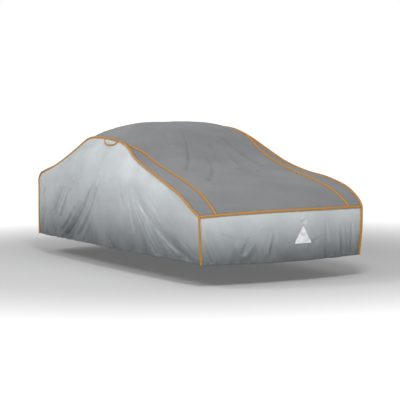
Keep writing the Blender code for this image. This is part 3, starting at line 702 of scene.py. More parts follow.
class Cloth:
    """One cloth panel: its grid of points, its distances from seams and hem, and its relief."""

    def __init__(self, grid, down, sewn, step, sizes):
        self.sizes = sizes
        top, bottom, left, right = sewn
        self.has_hem = down.z < 0.0
        near = [SEAM_ROWS if wanted else (0.0,) for wanted in sewn]
        if self.has_hem:
            near[1] = HEM_ROWS
        grid = refine_rows(tuck_edges(grid, sewn), step, near[0], near[1])
        self.points = turned(refine_rows(turned(grid), step, near[2], near[3]))
        self.normals = outward_normals(self.points)
        self.down_run = run_down(self.points)
        self.side_run = turned(run_down(turned(self.points)))
        self.down_left = self.down_run[-1] - self.down_run
        self.side_left = self.side_run[:, -1:] - self.side_run
        self.drop_share = self.down_run / self.down_run[-1]
        self.relief = np.zeros(self.points.shape[:2])
        self.hem_distance = self.down_left if self.has_hem else np.full(self.relief.shape, FAR_AWAY)
        self.seam_distance = np.full(self.relief.shape, FAR_AWAY)
        self.seam_run = np.zeros(self.relief.shape)
        for wanted, distance, run in (
                (top, self.down_run, self.side_run), (bottom, self.down_left, self.side_run),
                (left, self.side_run, self.down_run), (right, self.side_left, self.down_run)):
            if wanted:
                closer = distance < self.seam_distance
                self.seam_distance = np.where(closer, distance, self.seam_distance)
                self.seam_run = np.where(closer, run, self.seam_run)

    def ease(self, reach):
        """Zero at the sewn edges and one past this distance from them."""
        return smoothstep(self.seam_distance / reach)

    def add_folds(self, folds, first, second):
        """Adds a table of folds, placed by two coordinates of each point."""
        relief = fold_relief(folds, first, second) * self.ease(FOLD_EASE)
        if self.has_hem:
            relief *= HEM_SHARE + (1.0 - HEM_SHARE) * smoothstep(self.down_left / HEM_EASE)
        self.relief += relief

    def add_unevenness(self, seed, amount=1.0):
        """Adds the soft lumps that the cloth lies in between its folds."""
        lumps = sum(share * noise_field(self.points, size, seed + index)
                    for index, (size, share) in enumerate(LUMPS))
        pulled = STRETCHED_SHARE + (1.0 - STRETCHED_SHARE) * smoothstep(self.drop_share / STRETCHED_DROP)
        self.relief += self.sizes.unevenness * amount * lumps * pulled * self.ease(UNEVEN_EASE)

    def add_puckers(self, seed):
        """Adds the puckers along the seams and the dip beside the piping."""
        waves = ripple(self.seam_run, self.sizes.pucker_pitch, seed)
        self.relief += self.sizes.pucker_depth * waves * np.exp(-self.seam_distance / PUCKER_REACH)
        self.relief -= SEAM_DIP * np.exp(-(self.seam_distance / SEAM_DIP_WIDTH) ** 2)

    def add_hem(self, seed):
        """Adds the gathers, the fullness of the turned hem and the line of stitches above it."""
        sizes = self.sizes
        up = self.down_left
        fade = smoothstep(self.side_run / CORNER_FADE) * smoothstep(self.side_left / CORNER_FADE)
        for index, (share, reach, pitch) in enumerate(GATHERS):
            waves = ripple(self.side_run, sizes.gather_pitch * pitch, seed + index)
            self.relief += sizes.gather_depth * share * waves * np.exp(-up / reach) * fade
        inside = np.clip(1.0 - (2.0 * up / sizes.hem_width - 1.0) ** 2, 0.0, 1.0)
        self.relief += sizes.hem_fullness * np.sqrt(inside) * fade
        self.relief -= HEM_DIP * np.exp(-((up - sizes.hem_width) / HEM_DIP_WIDTH) ** 2)

    def back_patch(self, spot):
        """Lays the cloth flat over the patch that backs a warning triangle at one spot."""
        away = np.linalg.norm(self.points - np.array(spot), axis=2)
        eased = smoothstep((away - PATCH_RADIUS) / PATCH_EASE)
        self.relief = self.relief * eased + PATCH_HEIGHT * (1.0 - eased)

    def shaped(self):
        """The points of the cloth with its relief."""
        return self.points + self.normals * self.relief[:, :, None]


def grid_piece(name, points, uv, attributes, materials):
    """A piece made of one grid of points, with its UV map in metres and its named distances."""
    rows, columns = points.shape[:2]
    mesh = bpy.data.meshes.new(name)
    sheet = bmesh.new()
    bmesh.ops.create_grid(sheet, x_segments=rows - 1, y_segments=columns - 1, size=0.5)
    sheet.to_mesh(mesh)
    sheet.free()
    places = np.empty(len(mesh.vertices) * 3)
    mesh.vertices.foreach_get("co", places)
    places = places.reshape(-1, 3) + 0.5
    row = np.rint(places[:, 0] * (rows - 1)).astype(int)
    column = np.rint(places[:, 1] * (columns - 1)).astype(int)
    mesh.vertices.foreach_set("co", points[row, column].ravel())
    corner = np.empty(len(mesh.loops), dtype=np.int64)
    mesh.loops.foreach_get("vertex_index", corner)
    layer = mesh.uv_layers.active or mesh.uv_layers.new(name="cloth")
    layer.name = "cloth"
    layer.data.foreach_set("uv", uv[row[corner], column[corner]].ravel())
    for label, values in attributes.items():
        mesh.attributes.new(label, "FLOAT", "POINT").data.foreach_set("value", values[row, column])
    mesh.update()
    face = mesh.polygons[len(mesh.polygons) // 2]
    if face.normal.dot(face.center - inside_point(face.center)) < 0.0:
        mesh.flip_normals()
    mesh.shade_smooth()
    for material in materials:
        mesh.materials.append(material)
    piece = bpy.data.objects.new(name, mesh)
    bpy.context.scene.collection.objects.link(piece)
    return piece


def cloth_piece(name, cloth, thickness, materials):
    """A finished cloth sheet. Its back shows the second material."""
    uv = np.stack([cloth.side_run, cloth.down_run], axis=2)
    attributes = {
        "seam_distance": cloth.seam_distance,
        "seam_run": cloth.seam_run,
        "hem_distance": cloth.hem_distance,
        "drop_share": cloth.drop_share,
    }
    piece = grid_piece(name, cloth.shaped(), uv, attributes, materials)
    add_thickness(piece, thickness).use_even_offset = True
    return piece


# Materials

# A Wave texture of scale 1 has one band in this many metres
WAVE_UNIT = 0.314
# Threads of 0.3 mm are too fine to show, so they are drawn this coarse, in metres
SILVER_THREAD = 0.0035
GREY_THREAD = 0.0045
TAPE_RIB = 0.0030
# A stitch with the gap after it is this long, the thread takes up this share of it, and the line of
# stitches is this wide
STITCH_PITCH = 0.007
STITCH_SHARE = 0.72
STITCH_WIDTH = 0.0011
# Sizes of the softer patterns, as parts of a metre: clouds of dust and wear 0.3 to 0.4 m across,
# crumples of 6 to 11 cm, flecks of 2 mm in the dyed cloth and of 11 mm on its back, patches of 17 mm
# in the dye of the tape, and the film's cells of 4 mm and its waves of 11 cm
SILVER_CLOUD = 1.0 / 3.2
GREY_CLOUD = 1.0 / 2.4
SILVER_CRUMPLE = 1.0 / 17.0
GREY_CRUMPLE = 1.0 / 9.0
GREY_FLECK = 1.0 / 420.0
BACK_FLECK = 1.0 / 90.0
TAPE_PATCH = 1.0 / 60.0
FILM_CELL = 1.0 / 230.0
FILM_WAVE = 1.0 / 9.0
# The silver cloth is painted darker towards the hem, as painted shade, up to this height above it
SHADE_HEIGHT = 0.41


def add_node(tree, kind, settings=None, inputs=None):
    """Adds a node with its settings, and sets or links its inputs."""
    made = tree.nodes.new(kind)
    for key, value in (settings or {}).items():
        setattr(made, key, value)
    for key, value in (inputs or {}).items():
        if isinstance(value, bpy.types.NodeSocket):
            tree.links.new(value, made.inputs[key])
        else:
            made.inputs[key].default_value = value
    return made


def new_material(name):
    """A new material with its node tree and its shader."""
    material = bpy.data.materials.new(name)
    material.use_nodes = True
    tree = material.node_tree
    return material, tree, tree.nodes["Principled BSDF"]


def rgba(color):
    """A colour as a node takes it, with its opacity."""
    return (*color, 1.0)


def cloth_inputs(tree):
    """The place of each point on a cloth: in the object, on its UV map and from its seams and hem."""
    spot = add_node(tree, "ShaderNodeTexCoord").outputs["Object"]
    uv = add_node(tree, "ShaderNodeUVMap", {"uv_map": "cloth"}).outputs[0]
    distances = (add_node(tree, "ShaderNodeAttribute", {"attribute_name": name}).outputs["Fac"]
                 for name in ("seam_distance", "seam_run", "hem_distance", "drop_share"))
    return spot, uv, *distances


def stitch_mask(tree, distance, inset, run):
    """One where a line of stitches runs, at one distance from an edge."""
    off = add_node(tree, "ShaderNodeMath", {"operation": "SUBTRACT"}, {0: distance, 1: inset})
    away = add_node(tree, "ShaderNodeMath", {"operation": "ABSOLUTE"}, {0: off.outputs[0]})
    line = add_node(tree, "ShaderNodeMapRange", {"interpolation_type": "SMOOTHSTEP"}, {
        "Value": away.outputs[0], "From Min": STITCH_WIDTH * 0.5, "From Max": STITCH_WIDTH * 1.3,
        "To Min": 1.0, "To Max": 0.0})
    count = add_node(tree, "ShaderNodeMath", {"operation": "DIVIDE"}, {0: run, 1: STITCH_PITCH})
    share = add_node(tree, "ShaderNodeMath", {"operation": "FRACT"}, {0: count.outputs[0]})
    dash = add_node(tree, "ShaderNodeMath", {"operation": "LESS_THAN"}, {
        0: share.outputs[0], 1: STITCH_SHARE})
    both = add_node(tree, "ShaderNodeMath", {"operation": "MULTIPLY"}, {
        0: line.outputs[0], 1: dash.outputs[0]})
    return both.outputs[0]


def weave_height(tree, uv, pitch):
    """A plain weave: two sets of threads, one thread spacing apart."""
    waves = []
    for direction in ("X", "Y"):
        wave = add_node(tree, "ShaderNodeTexWave", {"wave_type": "BANDS", "bands_direction": direction}, {
            "Vector": uv, "Scale": WAVE_UNIT / pitch, "Distortion": 0.4,
            "Detail": 1.0, "Detail Scale": 2.0})
        waves.append(wave.outputs["Fac"])
    both = add_node(tree, "ShaderNodeMath", {"operation": "MULTIPLY"}, {0: waves[0], 1: waves[1]})
    return both.outputs[0]


def raise_layers(tree, shader, layers):
    """Raises the shader's surface by bumps, the broadest first: each a height, a depth and a strength."""
    normal = {}
    for height, depth, strength in layers:
        bump = add_node(tree, "ShaderNodeBump", None, {
            "Height": height, "Distance": depth, "Strength": strength, **normal})
        normal = {"Normal": bump.outputs[0]}
    tree.links.new(bump.outputs[0], shader.inputs["Normal"])


def silver_material(finishes, sizes):
    """Taffeta with an aluminium-pigment coating: a dull metal sheen over a fine plain weave, painted
    darker towards the hem as painted shade.
    """
    material, tree, shader = new_material("silver_coated_taffeta")
    spot, uv, seam, run, hem, drop = cloth_inputs(tree)
    across = add_node(tree, "ShaderNodeSeparateXYZ", None, {0: uv})
    clouds = add_node(tree, "ShaderNodeTexNoise", None, {
        "Vector": spot, "Scale": 1.0 / SILVER_CLOUD, "Detail": 5.0, "Roughness": 0.6})
    patches = add_node(tree, "ShaderNodeMapRange", None, {
        "Value": clouds.outputs["Fac"], "From Min": 0.3, "From Max": 0.7,
        "To Min": -0.10, "To Max": 0.10})
    # Painted shade: the coating is drawn darker towards the hem, half by the height above the hem and
    # half by the share of the drop, in place of the shade and darker reflections on the lower cloth
    height = add_node(tree, "ShaderNodeMapRange", None, {
        "Value": hem, "From Min": 0.0, "From Max": SHADE_HEIGHT, "To Min": 0.0, "To Max": 0.5})
    above = add_node(tree, "ShaderNodeMath", {"operation": "MULTIPLY_ADD"}, {0: drop, 1: -0.5, 2: 0.5})
    unshaded = add_node(tree, "ShaderNodeMath", {"operation": "ADD"}, {
        0: height.outputs[0], 1: above.outputs[0]})
    level = add_node(tree, "ShaderNodeMath", {"operation": "ADD", "use_clamp": True}, {
        0: unshaded.outputs[0], 1: patches.outputs[0]})
    # The painted shade, with random mottling added, picks between the darker and the lighter silver
    base = add_node(tree, "ShaderNodeMix", {"data_type": "RGBA"}, {
        "Factor": level.outputs[0], "A": rgba(finishes.silver_shaded), "B": rgba(finishes.silver)})
    seam_stitch = stitch_mask(tree, seam, sizes.stitch_inset + SEAM_TUCK, run)
    hem_stitch = stitch_mask(tree, hem, sizes.hem_width, across.outputs["X"])
    stitches = add_node(tree, "ShaderNodeMath", {"operation": "MAXIMUM"}, {0: seam_stitch, 1: hem_stitch})
    threaded = add_node(tree, "ShaderNodeMix", {"data_type": "RGBA"}, {
        "Factor": stitches.outputs[0], "A": base.outputs["Result"], "B": rgba(finishes.silver_thread)})
    tree.links.new(threaded.outputs["Result"], shader.inputs["Base Color"])
    shader.inputs["Metallic"].default_value = 0.30
    gloss = add_node(tree, "ShaderNodeMapRange", None, {
        "Value": clouds.outputs["Fac"], "From Min": 0.3, "From Max": 0.7,
        "To Min": 0.48, "To Max": 0.62})
    tree.links.new(gloss.outputs[0], shader.inputs["Roughness"])
    crumple = add_node(tree, "ShaderNodeTexNoise", None, {
        "Vector": spot, "Scale": 1.0 / SILVER_CRUMPLE, "Detail": 5.0, "Roughness": 0.55,
        "Distortion": 0.6})
    raise_layers(tree, shader, (
        (crumple.outputs["Fac"], 0.006, 0.35),
        (weave_height(tree, uv, SILVER_THREAD), 0.0004, 0.25),
        (stitches.outputs[0], 0.0006, 0.8)))
    return material


def grey_material(finishes, sizes):
    """Padded polyester oxford: a matt, close weave that lightens a little where it has rubbed."""
    material, tree, shader = new_material("grey_padded_oxford")
    spot, uv, seam, run, _, _ = cloth_inputs(tree)
    clouds = add_node(tree, "ShaderNodeTexNoise", None, {
        "Vector": spot, "Scale": 1.0 / GREY_CLOUD, "Detail": 6.0, "Roughness": 0.62})
    fleck = add_node(tree, "ShaderNodeTexNoise", None, {
        "Vector": uv, "Scale": 1.0 / GREY_FLECK, "Detail": 2.0, "Roughness": 0.7})
    mixed = add_node(tree, "ShaderNodeMath", {"operation": "MULTIPLY_ADD"}, {
        0: fleck.outputs["Fac"], 1: 0.35, 2: clouds.outputs["Fac"]})
    wear = add_node(tree, "ShaderNodeMapRange", None, {
        "Value": mixed.outputs[0], "From Min": 0.45, "From Max": 0.90})
    base = add_node(tree, "ShaderNodeMix", {"data_type": "RGBA"}, {
        "Factor": wear.outputs[0], "A": rgba(finishes.grey), "B": rgba(finishes.grey_worn)})
    stitches = stitch_mask(tree, seam, sizes.stitch_inset + SEAM_TUCK, run)
    threaded = add_node(tree, "ShaderNodeMix", {"data_type": "RGBA"}, {
        "Factor": stitches, "A": base.outputs["Result"], "B": rgba(finishes.grey_thread)})
    tree.links.new(threaded.outputs["Result"], shader.inputs["Base Color"])
    shader.inputs["Roughness"].default_value = 0.78
    shader.inputs["Sheen Weight"].default_value = 0.25
    shader.inputs["Sheen Roughness"].default_value = 0.6
    crumple = add_node(tree, "ShaderNodeTexNoise", None, {
        "Vector": spot, "Scale": 1.0 / GREY_CRUMPLE, "Detail": 4.0, "Roughness": 0.5,
        "Distortion": 0.4})
    raise_layers(tree, shader, (
        (crumple.outputs["Fac"], 0.008, 0.25),
        (weave_height(tree, uv, GREY_THREAD), 0.0007, 0.5),
        (stitches, 0.0006, 0.8)))
    return material


def back_material(finishes):
    """The uncoated back of the cloth: matt, pale and plainly woven."""
    material, tree, shader = new_material("uncoated_cloth_back")
    uv = add_node(tree, "ShaderNodeUVMap", {"uv_map": "cloth"}).outputs[0]
    fleck = add_node(tree, "ShaderNodeTexNoise", None, {
        "Vector": uv, "Scale": 1.0 / BACK_FLECK, "Detail": 3.0})
    shaded = [0.8 * channel for channel in finishes.back]
    base = add_node(tree, "ShaderNodeMix", {"data_type": "RGBA"}, {
        "Factor": fleck.outputs["Fac"], "A": rgba(shaded), "B": rgba(finishes.back)})
    tree.links.new(base.outputs["Result"], shader.inputs["Base Color"])
    shader.inputs["Roughness"].default_value = 0.85
    raise_layers(tree, shader, ((weave_height(tree, uv, GREY_THREAD), 0.0005, 0.4),))
    return material


def piping_material(finishes):
    """Dyed polyester bias tape folded round a cord: slanted ribs, and darker in its small folds."""
    material, tree, shader = new_material("orange_bias_tape")
    uv = add_node(tree, "ShaderNodeUVMap", {"uv_map": "cloth"}).outputs[0]
    slanted = add_node(tree, "ShaderNodeMapping", None, {
        "Vector": uv, "Rotation": (0.0, 0.0, math.radians(45.0))})
    ribs = add_node(tree, "ShaderNodeTexWave", {"wave_type": "BANDS", "bands_direction": "X"}, {
        "Vector": slanted.outputs[0], "Scale": WAVE_UNIT / TAPE_RIB, "Distortion": 0.6, "Detail": 1.0})
    clouds = add_node(tree, "ShaderNodeTexNoise", None, {
        "Vector": uv, "Scale": 1.0 / TAPE_PATCH, "Detail": 3.0})
    base = add_node(tree, "ShaderNodeMix", {"data_type": "RGBA"}, {
        "Factor": clouds.outputs["Fac"], "A": rgba(finishes.orange_worn), "B": rgba(finishes.orange)})
    tree.links.new(base.outputs["Result"], shader.inputs["Base Color"])
    shader.inputs["Roughness"].default_value = 0.62
    shader.inputs["Sheen Weight"].default_value = 0.08
    raise_layers(tree, shader, ((ribs.outputs["Fac"], 0.0006, 0.5),))
    return material


def film_material(finishes):
    """Glass-bead reflective film under clear plastic: bright, glossy, with a fine cell pattern."""
    material, tree, shader = new_material("reflective_bead_film")
    spot = add_node(tree, "ShaderNodeTexCoord")
    parts = add_node(tree, "ShaderNodeSeparateXYZ", None, {0: spot.outputs["Object"]})
    face = add_node(tree, "ShaderNodeCombineXYZ", None, {0: parts.outputs["X"], 1: parts.outputs["Z"]})
    cells = add_node(
        tree, "ShaderNodeTexVoronoi", {"voronoi_dimensions": "2D", "feature": "DISTANCE_TO_EDGE"},
        {"Vector": face.outputs[0], "Scale": 1.0 / FILM_CELL, "Randomness": 0.3})
    walls = add_node(tree, "ShaderNodeMapRange", None, {
        "Value": cells.outputs["Distance"], "From Min": 0.02, "From Max": 0.10})
    base = add_node(tree, "ShaderNodeMix", {"data_type": "RGBA"}, {
        "Factor": walls.outputs[0], "A": rgba(finishes.film_walls), "B": rgba(finishes.film)})
    tree.links.new(base.outputs["Result"], shader.inputs["Base Color"])
    shader.inputs["Metallic"].default_value = 0.35
    shader.inputs["Roughness"].default_value = 0.24
    shader.inputs["Coat Weight"].default_value = 1.0
    shader.inputs["Coat Roughness"].default_value = 0.06
    waves = add_node(tree, "ShaderNodeTexNoise", None, {
        "Vector": face.outputs[0], "Scale": 1.0 / FILM_WAVE, "Detail": 1.0})
    raise_layers(tree, shader, (
        (waves.outputs["Fac"], 0.030, 1.0),
        (walls.outputs[0], 0.0004, 0.3)))
    return material


MADE_MATERIALS = {}


def shared_material(maker, *settings):
    """The one material of a finish, made when the first piece needs it."""
    if maker not in MADE_MATERIALS:
        MADE_MATERIALS[maker] = maker(*settings)
    return MADE_MATERIALS[maker]


def cloth_materials(scene, maker):
    """The material of a cloth's face and that of its back."""
    finishes = scene.cover_finishes
    return [shared_material(maker, finishes, scene.cover_sizes), shared_material(back_material, finishes)]


# Pieces

# Which edges of a cloth are sewn: its top, bottom, left and right. The bottom of a skirt is a hem, and
# a strip runs out where its seams meet
SEWN_ROUND = (True, True, True, True)
SEWN_SKIRT = (True, False, True, True)


def station_of(points):
    """The stations of a grid of points."""
    return points[:, :, 1] + ORIGIN_STATION


def height_of(points):
    """The heights of a grid of points above the floor."""
    return points[:, :, 2] + ORIGIN_HEIGHT


def add_thickness(piece, thickness):
    """Thickens a sheet inwards. Its back shows its second material, if it has one."""
    solidify = piece.modifiers.new("Thickness", "SOLIDIFY")
    solidify.thickness = thickness
    solidify.offset = -1.0
    solidify.material_offset = len(piece.data.materials) - 1
    return solidify


def finish_sheet(piece, nodes):
    """Hides the solids that a sheet stands for and fixes the sheet to the root body."""
    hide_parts(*nodes)
    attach(piece, "root")


class COVER_OT_top(bpy.types.Operator):
    """Makes the grey top cloth and the two strips beside the bonnet seams"""

    bl_idname = "cover.top"
    bl_label = "Top cloth"

    def execute(self, context):
        sizes = context.scene.cover_sizes
        grey = cloth_materials(context.scene, grey_material)
        grid = joined_grid(TOP_NODES, REARWARD, LEFTWARD)
        cloth = Cloth(grid, REARWARD, SEWN_ROUND, sizes.top_step, sizes)
        folds = TOP_FOLDS + spread_folds(TOP_SPREADS, seed=38)
        cloth.add_folds(folds, cloth.points[:, :, 0], station_of(cloth.points))
        cloth.add_unevenness(seed=3, amount=0.8)
        cloth.add_puckers(seed=11)
        piece = cloth_piece("top_cloth", cloth, sizes.top_thickness, grey)
        finish_sheet(piece, TOP_NODES)
        for index, side in enumerate(SIDES):
            cloth = Cloth(strip_grid(side), REARWARD, SEWN_SKIRT, sizes.side_step, sizes)
            cloth.add_unevenness(seed=20 + index, amount=0.5)
            cloth.add_puckers(seed=25 + index)
            piece = cloth_piece(f"bonnet_strip_cloth_{side}", cloth, sizes.top_thickness, grey)
            finish_sheet(piece, [f"bonnet_strip_{side}"])
        return {"FINISHED"}


class COVER_OT_sides(bpy.types.Operator):
    """Makes the two silver side cloths with their folds, gathers and hems"""

    bl_idname = "cover.sides"
    bl_label = "Side cloths"

    def execute(self, context):
        sizes = context.scene.cover_sizes
        silver = cloth_materials(context.scene, silver_material)
        tables = (("right", RIGHT_FOLDS, RIGHT_SPREADS), ("left", LEFT_FOLDS, LEFT_SPREADS))
        for index, (side, folds, spreads) in enumerate(tables):
            nodes = [f"side_panel_{side}_{part}" for part in SIDE_PARTS]
            grid = joined_grid(nodes, DOWN, REARWARD)
            cloth = Cloth(grid, DOWN, SEWN_SKIRT, sizes.side_step, sizes)
            folds += spread_folds(spreads, seed=30 + index)
            cloth.add_folds(folds, station_of(cloth.points), height_of(cloth.points))
            cloth.add_unevenness(seed=40 + 2 * index)
            cloth.add_puckers(seed=50 + index)
            cloth.add_hem(seed=60 + 5 * index)
            piece = cloth_piece(f"side_cloth_{side}", cloth, sizes.silver_thickness, silver)
            finish_sheet(piece, nodes)
        return {"FINISHED"}


class COVER_OT_ends(bpy.types.Operator):
    """Makes the silver front and rear cloths with their folds, gathers and hems"""

    bl_idname = "cover.ends"
    bl_label = "Front and rear cloths"

    def execute(self, context):
        sizes = context.scene.cover_sizes
        silver = cloth_materials(context.scene, silver_material)
        tables = (("front", FRONT_FOLDS, FRONT_SPREADS), ("rear", REAR_FOLDS, REAR_SPREADS))
        for index, (end, folds, spreads) in enumerate(tables):
            grid = skin_grid(f"{end}_panel", DOWN, LEFTWARD)
            cloth = Cloth(grid, DOWN, SEWN_SKIRT, sizes.end_step, sizes)
            folds = spread_folds(spreads, seed=36 + index) + folds
            cloth.add_folds(folds, cloth.points[:, :, 0], height_of(cloth.points))
            cloth.add_unevenness(seed=70 + 2 * index, amount=1.6)
            cloth.add_puckers(seed=80 + index)
            cloth.add_hem(seed=90 + 5 * index)
            low, high = (np.array(corner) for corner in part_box(f"reflector_{end}"))
            # A triangle's centre is a third of the way up
            cloth.back_patch(low + (high - low) * np.array([1.0 / 2.0, 1.0 / 2.0, 1.0 / 3.0]))
            piece = cloth_piece(f"{end}_cloth", cloth, sizes.silver_thickness, silver)
            finish_sheet(piece, [f"{end}_panel"])
        return {"FINISHED"}


PIPING_NODES = ("side_piping_right", "side_piping_left", "bonnet_piping_right", "bonnet_piping_left",
                "front_piping", "rear_piping")
VENT_PIPING_NODES = ("vent_piping_right", "vent_piping_left")
# Rings of this many points stand this far apart along the piping
TAPE_POINTS = 12
TAPE_STEP = 0.012
# The tape is up to this share thicker or thinner where it folds, about once in this distance
TAPE_SWELLING = 0.05
TAPE_SWELLING_PITCH = 0.026


def tube_piece(name, line, radius, width, lift, material):
    """A cord in its tape along a line, lifted off the cloth, with the small folds that tape makes."""
    grid = refine_rows(line[:, None, :], TAPE_STEP)
    path = grid[:, 0]
    run = run_down(grid)[:, 0]
    tangent = np.gradient(path, axis=0)
    tangent /= np.linalg.norm(tangent, axis=1, keepdims=True)
    outward = np.array([Vector(p) - inside_point(Vector(p)) for p in path])
    outward -= tangent * (outward * tangent).sum(axis=1, keepdims=True)
    outward /= np.linalg.norm(outward, axis=1, keepdims=True)
    path = path + outward * lift
    across = np.cross(tangent, outward)
    angles = np.linspace(0.0, 2.0 * math.pi, TAPE_POINTS + 1)
    swollen = radius * (1.0 + TAPE_SWELLING * ripple(run, TAPE_SWELLING_PITCH, seed=len(name)))
    high, wide = np.cos(angles)[None, :, None], np.sin(angles)[None, :, None] * width / radius
    ring = outward[:, None] * high + across[:, None] * wide
    points = path[:, None] + ring * swollen[:, None, None]
    uv = np.stack(np.meshgrid(run, angles * radius, indexing="ij"), axis=2)
    piece = grid_piece(name, points, uv, {}, [material])
    shell = bmesh.new()
    shell.from_mesh(piece.data)
    bmesh.ops.remove_doubles(shell, verts=shell.verts, dist=WELD)
    bmesh.ops.holes_fill(shell, edges=[edge for edge in shell.edges if edge.is_boundary], sides=0)
    bmesh.ops.recalc_face_normals(shell, faces=shell.faces)
    shell.to_mesh(piece.data)
    shell.free()
    return piece


class COVER_OT_piping(bpy.types.Operator):
    """Makes the orange piping of every seam and of the vent flaps"""

    bl_idname = "cover.piping"
    bl_label = "Piping"

    def execute(self, context):
        sizes = context.scene.cover_sizes
        tape = shared_material(piping_material, context.scene.cover_finishes)
        for nodes, radius, width, lift in (
                (PIPING_NODES, sizes.piping_radius, sizes.piping_width, sizes.piping_lift),
                (VENT_PIPING_NODES, sizes.vent_piping_radius, sizes.vent_piping_width, 0.0)):
            for node in nodes:
                piece = tube_piece(f"{node}_tape", centre_line(node), radius, width, lift, tape)
                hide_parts(node)
                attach(piece, "root")
        return {"FINISHED"}


# Points of a vent flap: this far apart along its bow, and this many rows from its seam to its bow
FLAP_STEP = 0.008
FLAP_ROWS = 11
# A flap lies this far off the side cloth, and swells by this much more, most a little above its middle
FLAP_LIFT = 0.0035
FLAP_POUCH = 0.009
FLAP_SAG = 0.8
# Its cloth, for the weave: the length along the bow and the drop from the seam
FLAP_LENGTH = 0.34
FLAP_DROP = 0.08


def flap_points(bow, surface):
    """A vent flap's points, in rows from its seam to its bow. It lies on a surface and swells off it."""
    first, last = bow[0], bow[-1]
    chord_share = ((bow - first) @ (last - first)) / ((last - first) @ (last - first))
    chord = first + (last - first) * np.clip(chord_share, 0.0, 1.0)[:, None]
    share = np.linspace(0.0, 1.0, len(bow))
    down = np.linspace(0.0, 1.0, FLAP_ROWS)
    points = chord[:, None] + (bow - chord)[:, None] * down[None, :, None]
    pouch = np.outer(np.sin(math.pi * share), np.sin(math.pi * down ** FLAP_SAG)) * FLAP_POUCH
    for spot in np.ndindex(*pouch.shape):
        place, normal, _, _ = surface.find_nearest(Vector(points[spot]))
        points[spot] = place + normal * (FLAP_LIFT + pouch[spot])
    return points


class COVER_OT_vents(bpy.types.Operator):
    """Makes the half-moon vent flaps under the roof seams"""

    bl_idname = "cover.vents"
    bl_label = "Vent flaps"

    def execute(self, context):
        sizes = context.scene.cover_sizes
        silver = cloth_materials(context.scene, silver_material)
        graph = context.evaluated_depsgraph_get()
        for side in SIDES:
            panel = bpy.data.objects[f"side_cloth_{side}"]
            bow = refine_rows(centre_line(f"vent_piping_{side}")[:, None, :], FLAP_STEP)[:, 0]
            points = flap_points(bow, BVHTree.FromObject(panel, graph))
            share = np.linspace(0.0, 1.0, len(bow))
            down = np.linspace(0.0, 1.0, FLAP_ROWS)
            run = np.stack(np.meshgrid(share * FLAP_LENGTH, down * FLAP_DROP, indexing="ij"), axis=2)
            far = np.full(points.shape[:2], FAR_AWAY)
            away = dict.fromkeys(("seam_distance", "seam_run", "hem_distance"), far)
            away["drop_share"] = np.zeros_like(far)
            piece = grid_piece(f"vent_flap_cloth_{side}", points, run, away, silver)
            add_thickness(piece, sizes.flap_thickness)
            finish_sheet(piece, [f"vent_flap_{side}"])
        return {"FINISHED"}


# A warning triangle's corners are rounded, and its rim falls away to the cloth, as film does when it is
# cut and pressed on
TRIANGLE_CORNER = 0.010
TRIANGLE_CORNER_STEPS = 5
TRIANGLE_RIM = 0.004
TRIANGLE_RIM_HEIGHT = 0.0006
TRIANGLE_THICKNESS = 0.0014


class COVER_OT_reflectors(bpy.types.Operator):
    """Makes the warning triangles of reflective film on the front and rear"""

    bl_idname = "cover.reflectors"
    bl_label = "Warning triangles"

    def execute(self, context):
        film = shared_material(film_material, context.scene.cover_finishes)
        for end in ("front", "rear"):
            shape = merged_mesh(f"reflector_{end}")
            keep_outer_skin(shape)
            bmesh.ops.dissolve_faces(shape, faces=shape.faces)
            bmesh.ops.bevel(
                shape, geom=shape.verts, affect="VERTICES", offset=TRIANGLE_CORNER,
                segments=TRIANGLE_CORNER_STEPS, profile=0.5, material=-1)
            bmesh.ops.inset_region(
                shape, faces=shape.faces, thickness=TRIANGLE_RIM, depth=TRIANGLE_RIM_HEIGHT)
            name = f"warning_triangle_{end}"
            piece = bpy.data.objects.new(name, bpy.data.meshes.new(name))
            shape.to_mesh(piece.data)
            shape.free()
            piece.data.materials.append(film)
            context.scene.collection.objects.link(piece)
            add_thickness(piece, TRIANGLE_THICKNESS)
            finish_sheet(piece, [f"reflector_{end}"])
        return {"FINISHED"}


# Stage

# The camera's direction, tilt and roll, the distance to its target in metres, its lens in millimetres
# and how far it sees
CAMERA_AZIMUTH = math.radians(27.80)
CAMERA_ELEVATION = math.radians(3.98)
CAMERA_ROLL = math.radians(-0.70)
CAMERA_DISTANCE = 14.7
CAMERA_LENS = 135.65
CAMERA_TARGET = Vector((0.117, -0.343, -0.759))
CAMERA_REACH = 300.0
FLOOR_SIZE = 160.0
WHITE = (1.0, 1.0, 1.0, 1.0)
# The softboxes. The columns are name, place, the point it shines at, size in metres and power in watts.
SOFTBOXES = (
    ("overhead_softbox", (-1.6, -1.2, 4.6), (0.0, 0.0, -0.6), 4.5, 15.0),
    ("side_softbox", (-6.6, 1.2, 4.3), (0.0, 0.2, -0.6), 2.2, 226.0),
    ("front_softbox", (-2.8, -7.4, 5.5), (0.0, -1.0, -0.6), 2.4, 455.0),
)


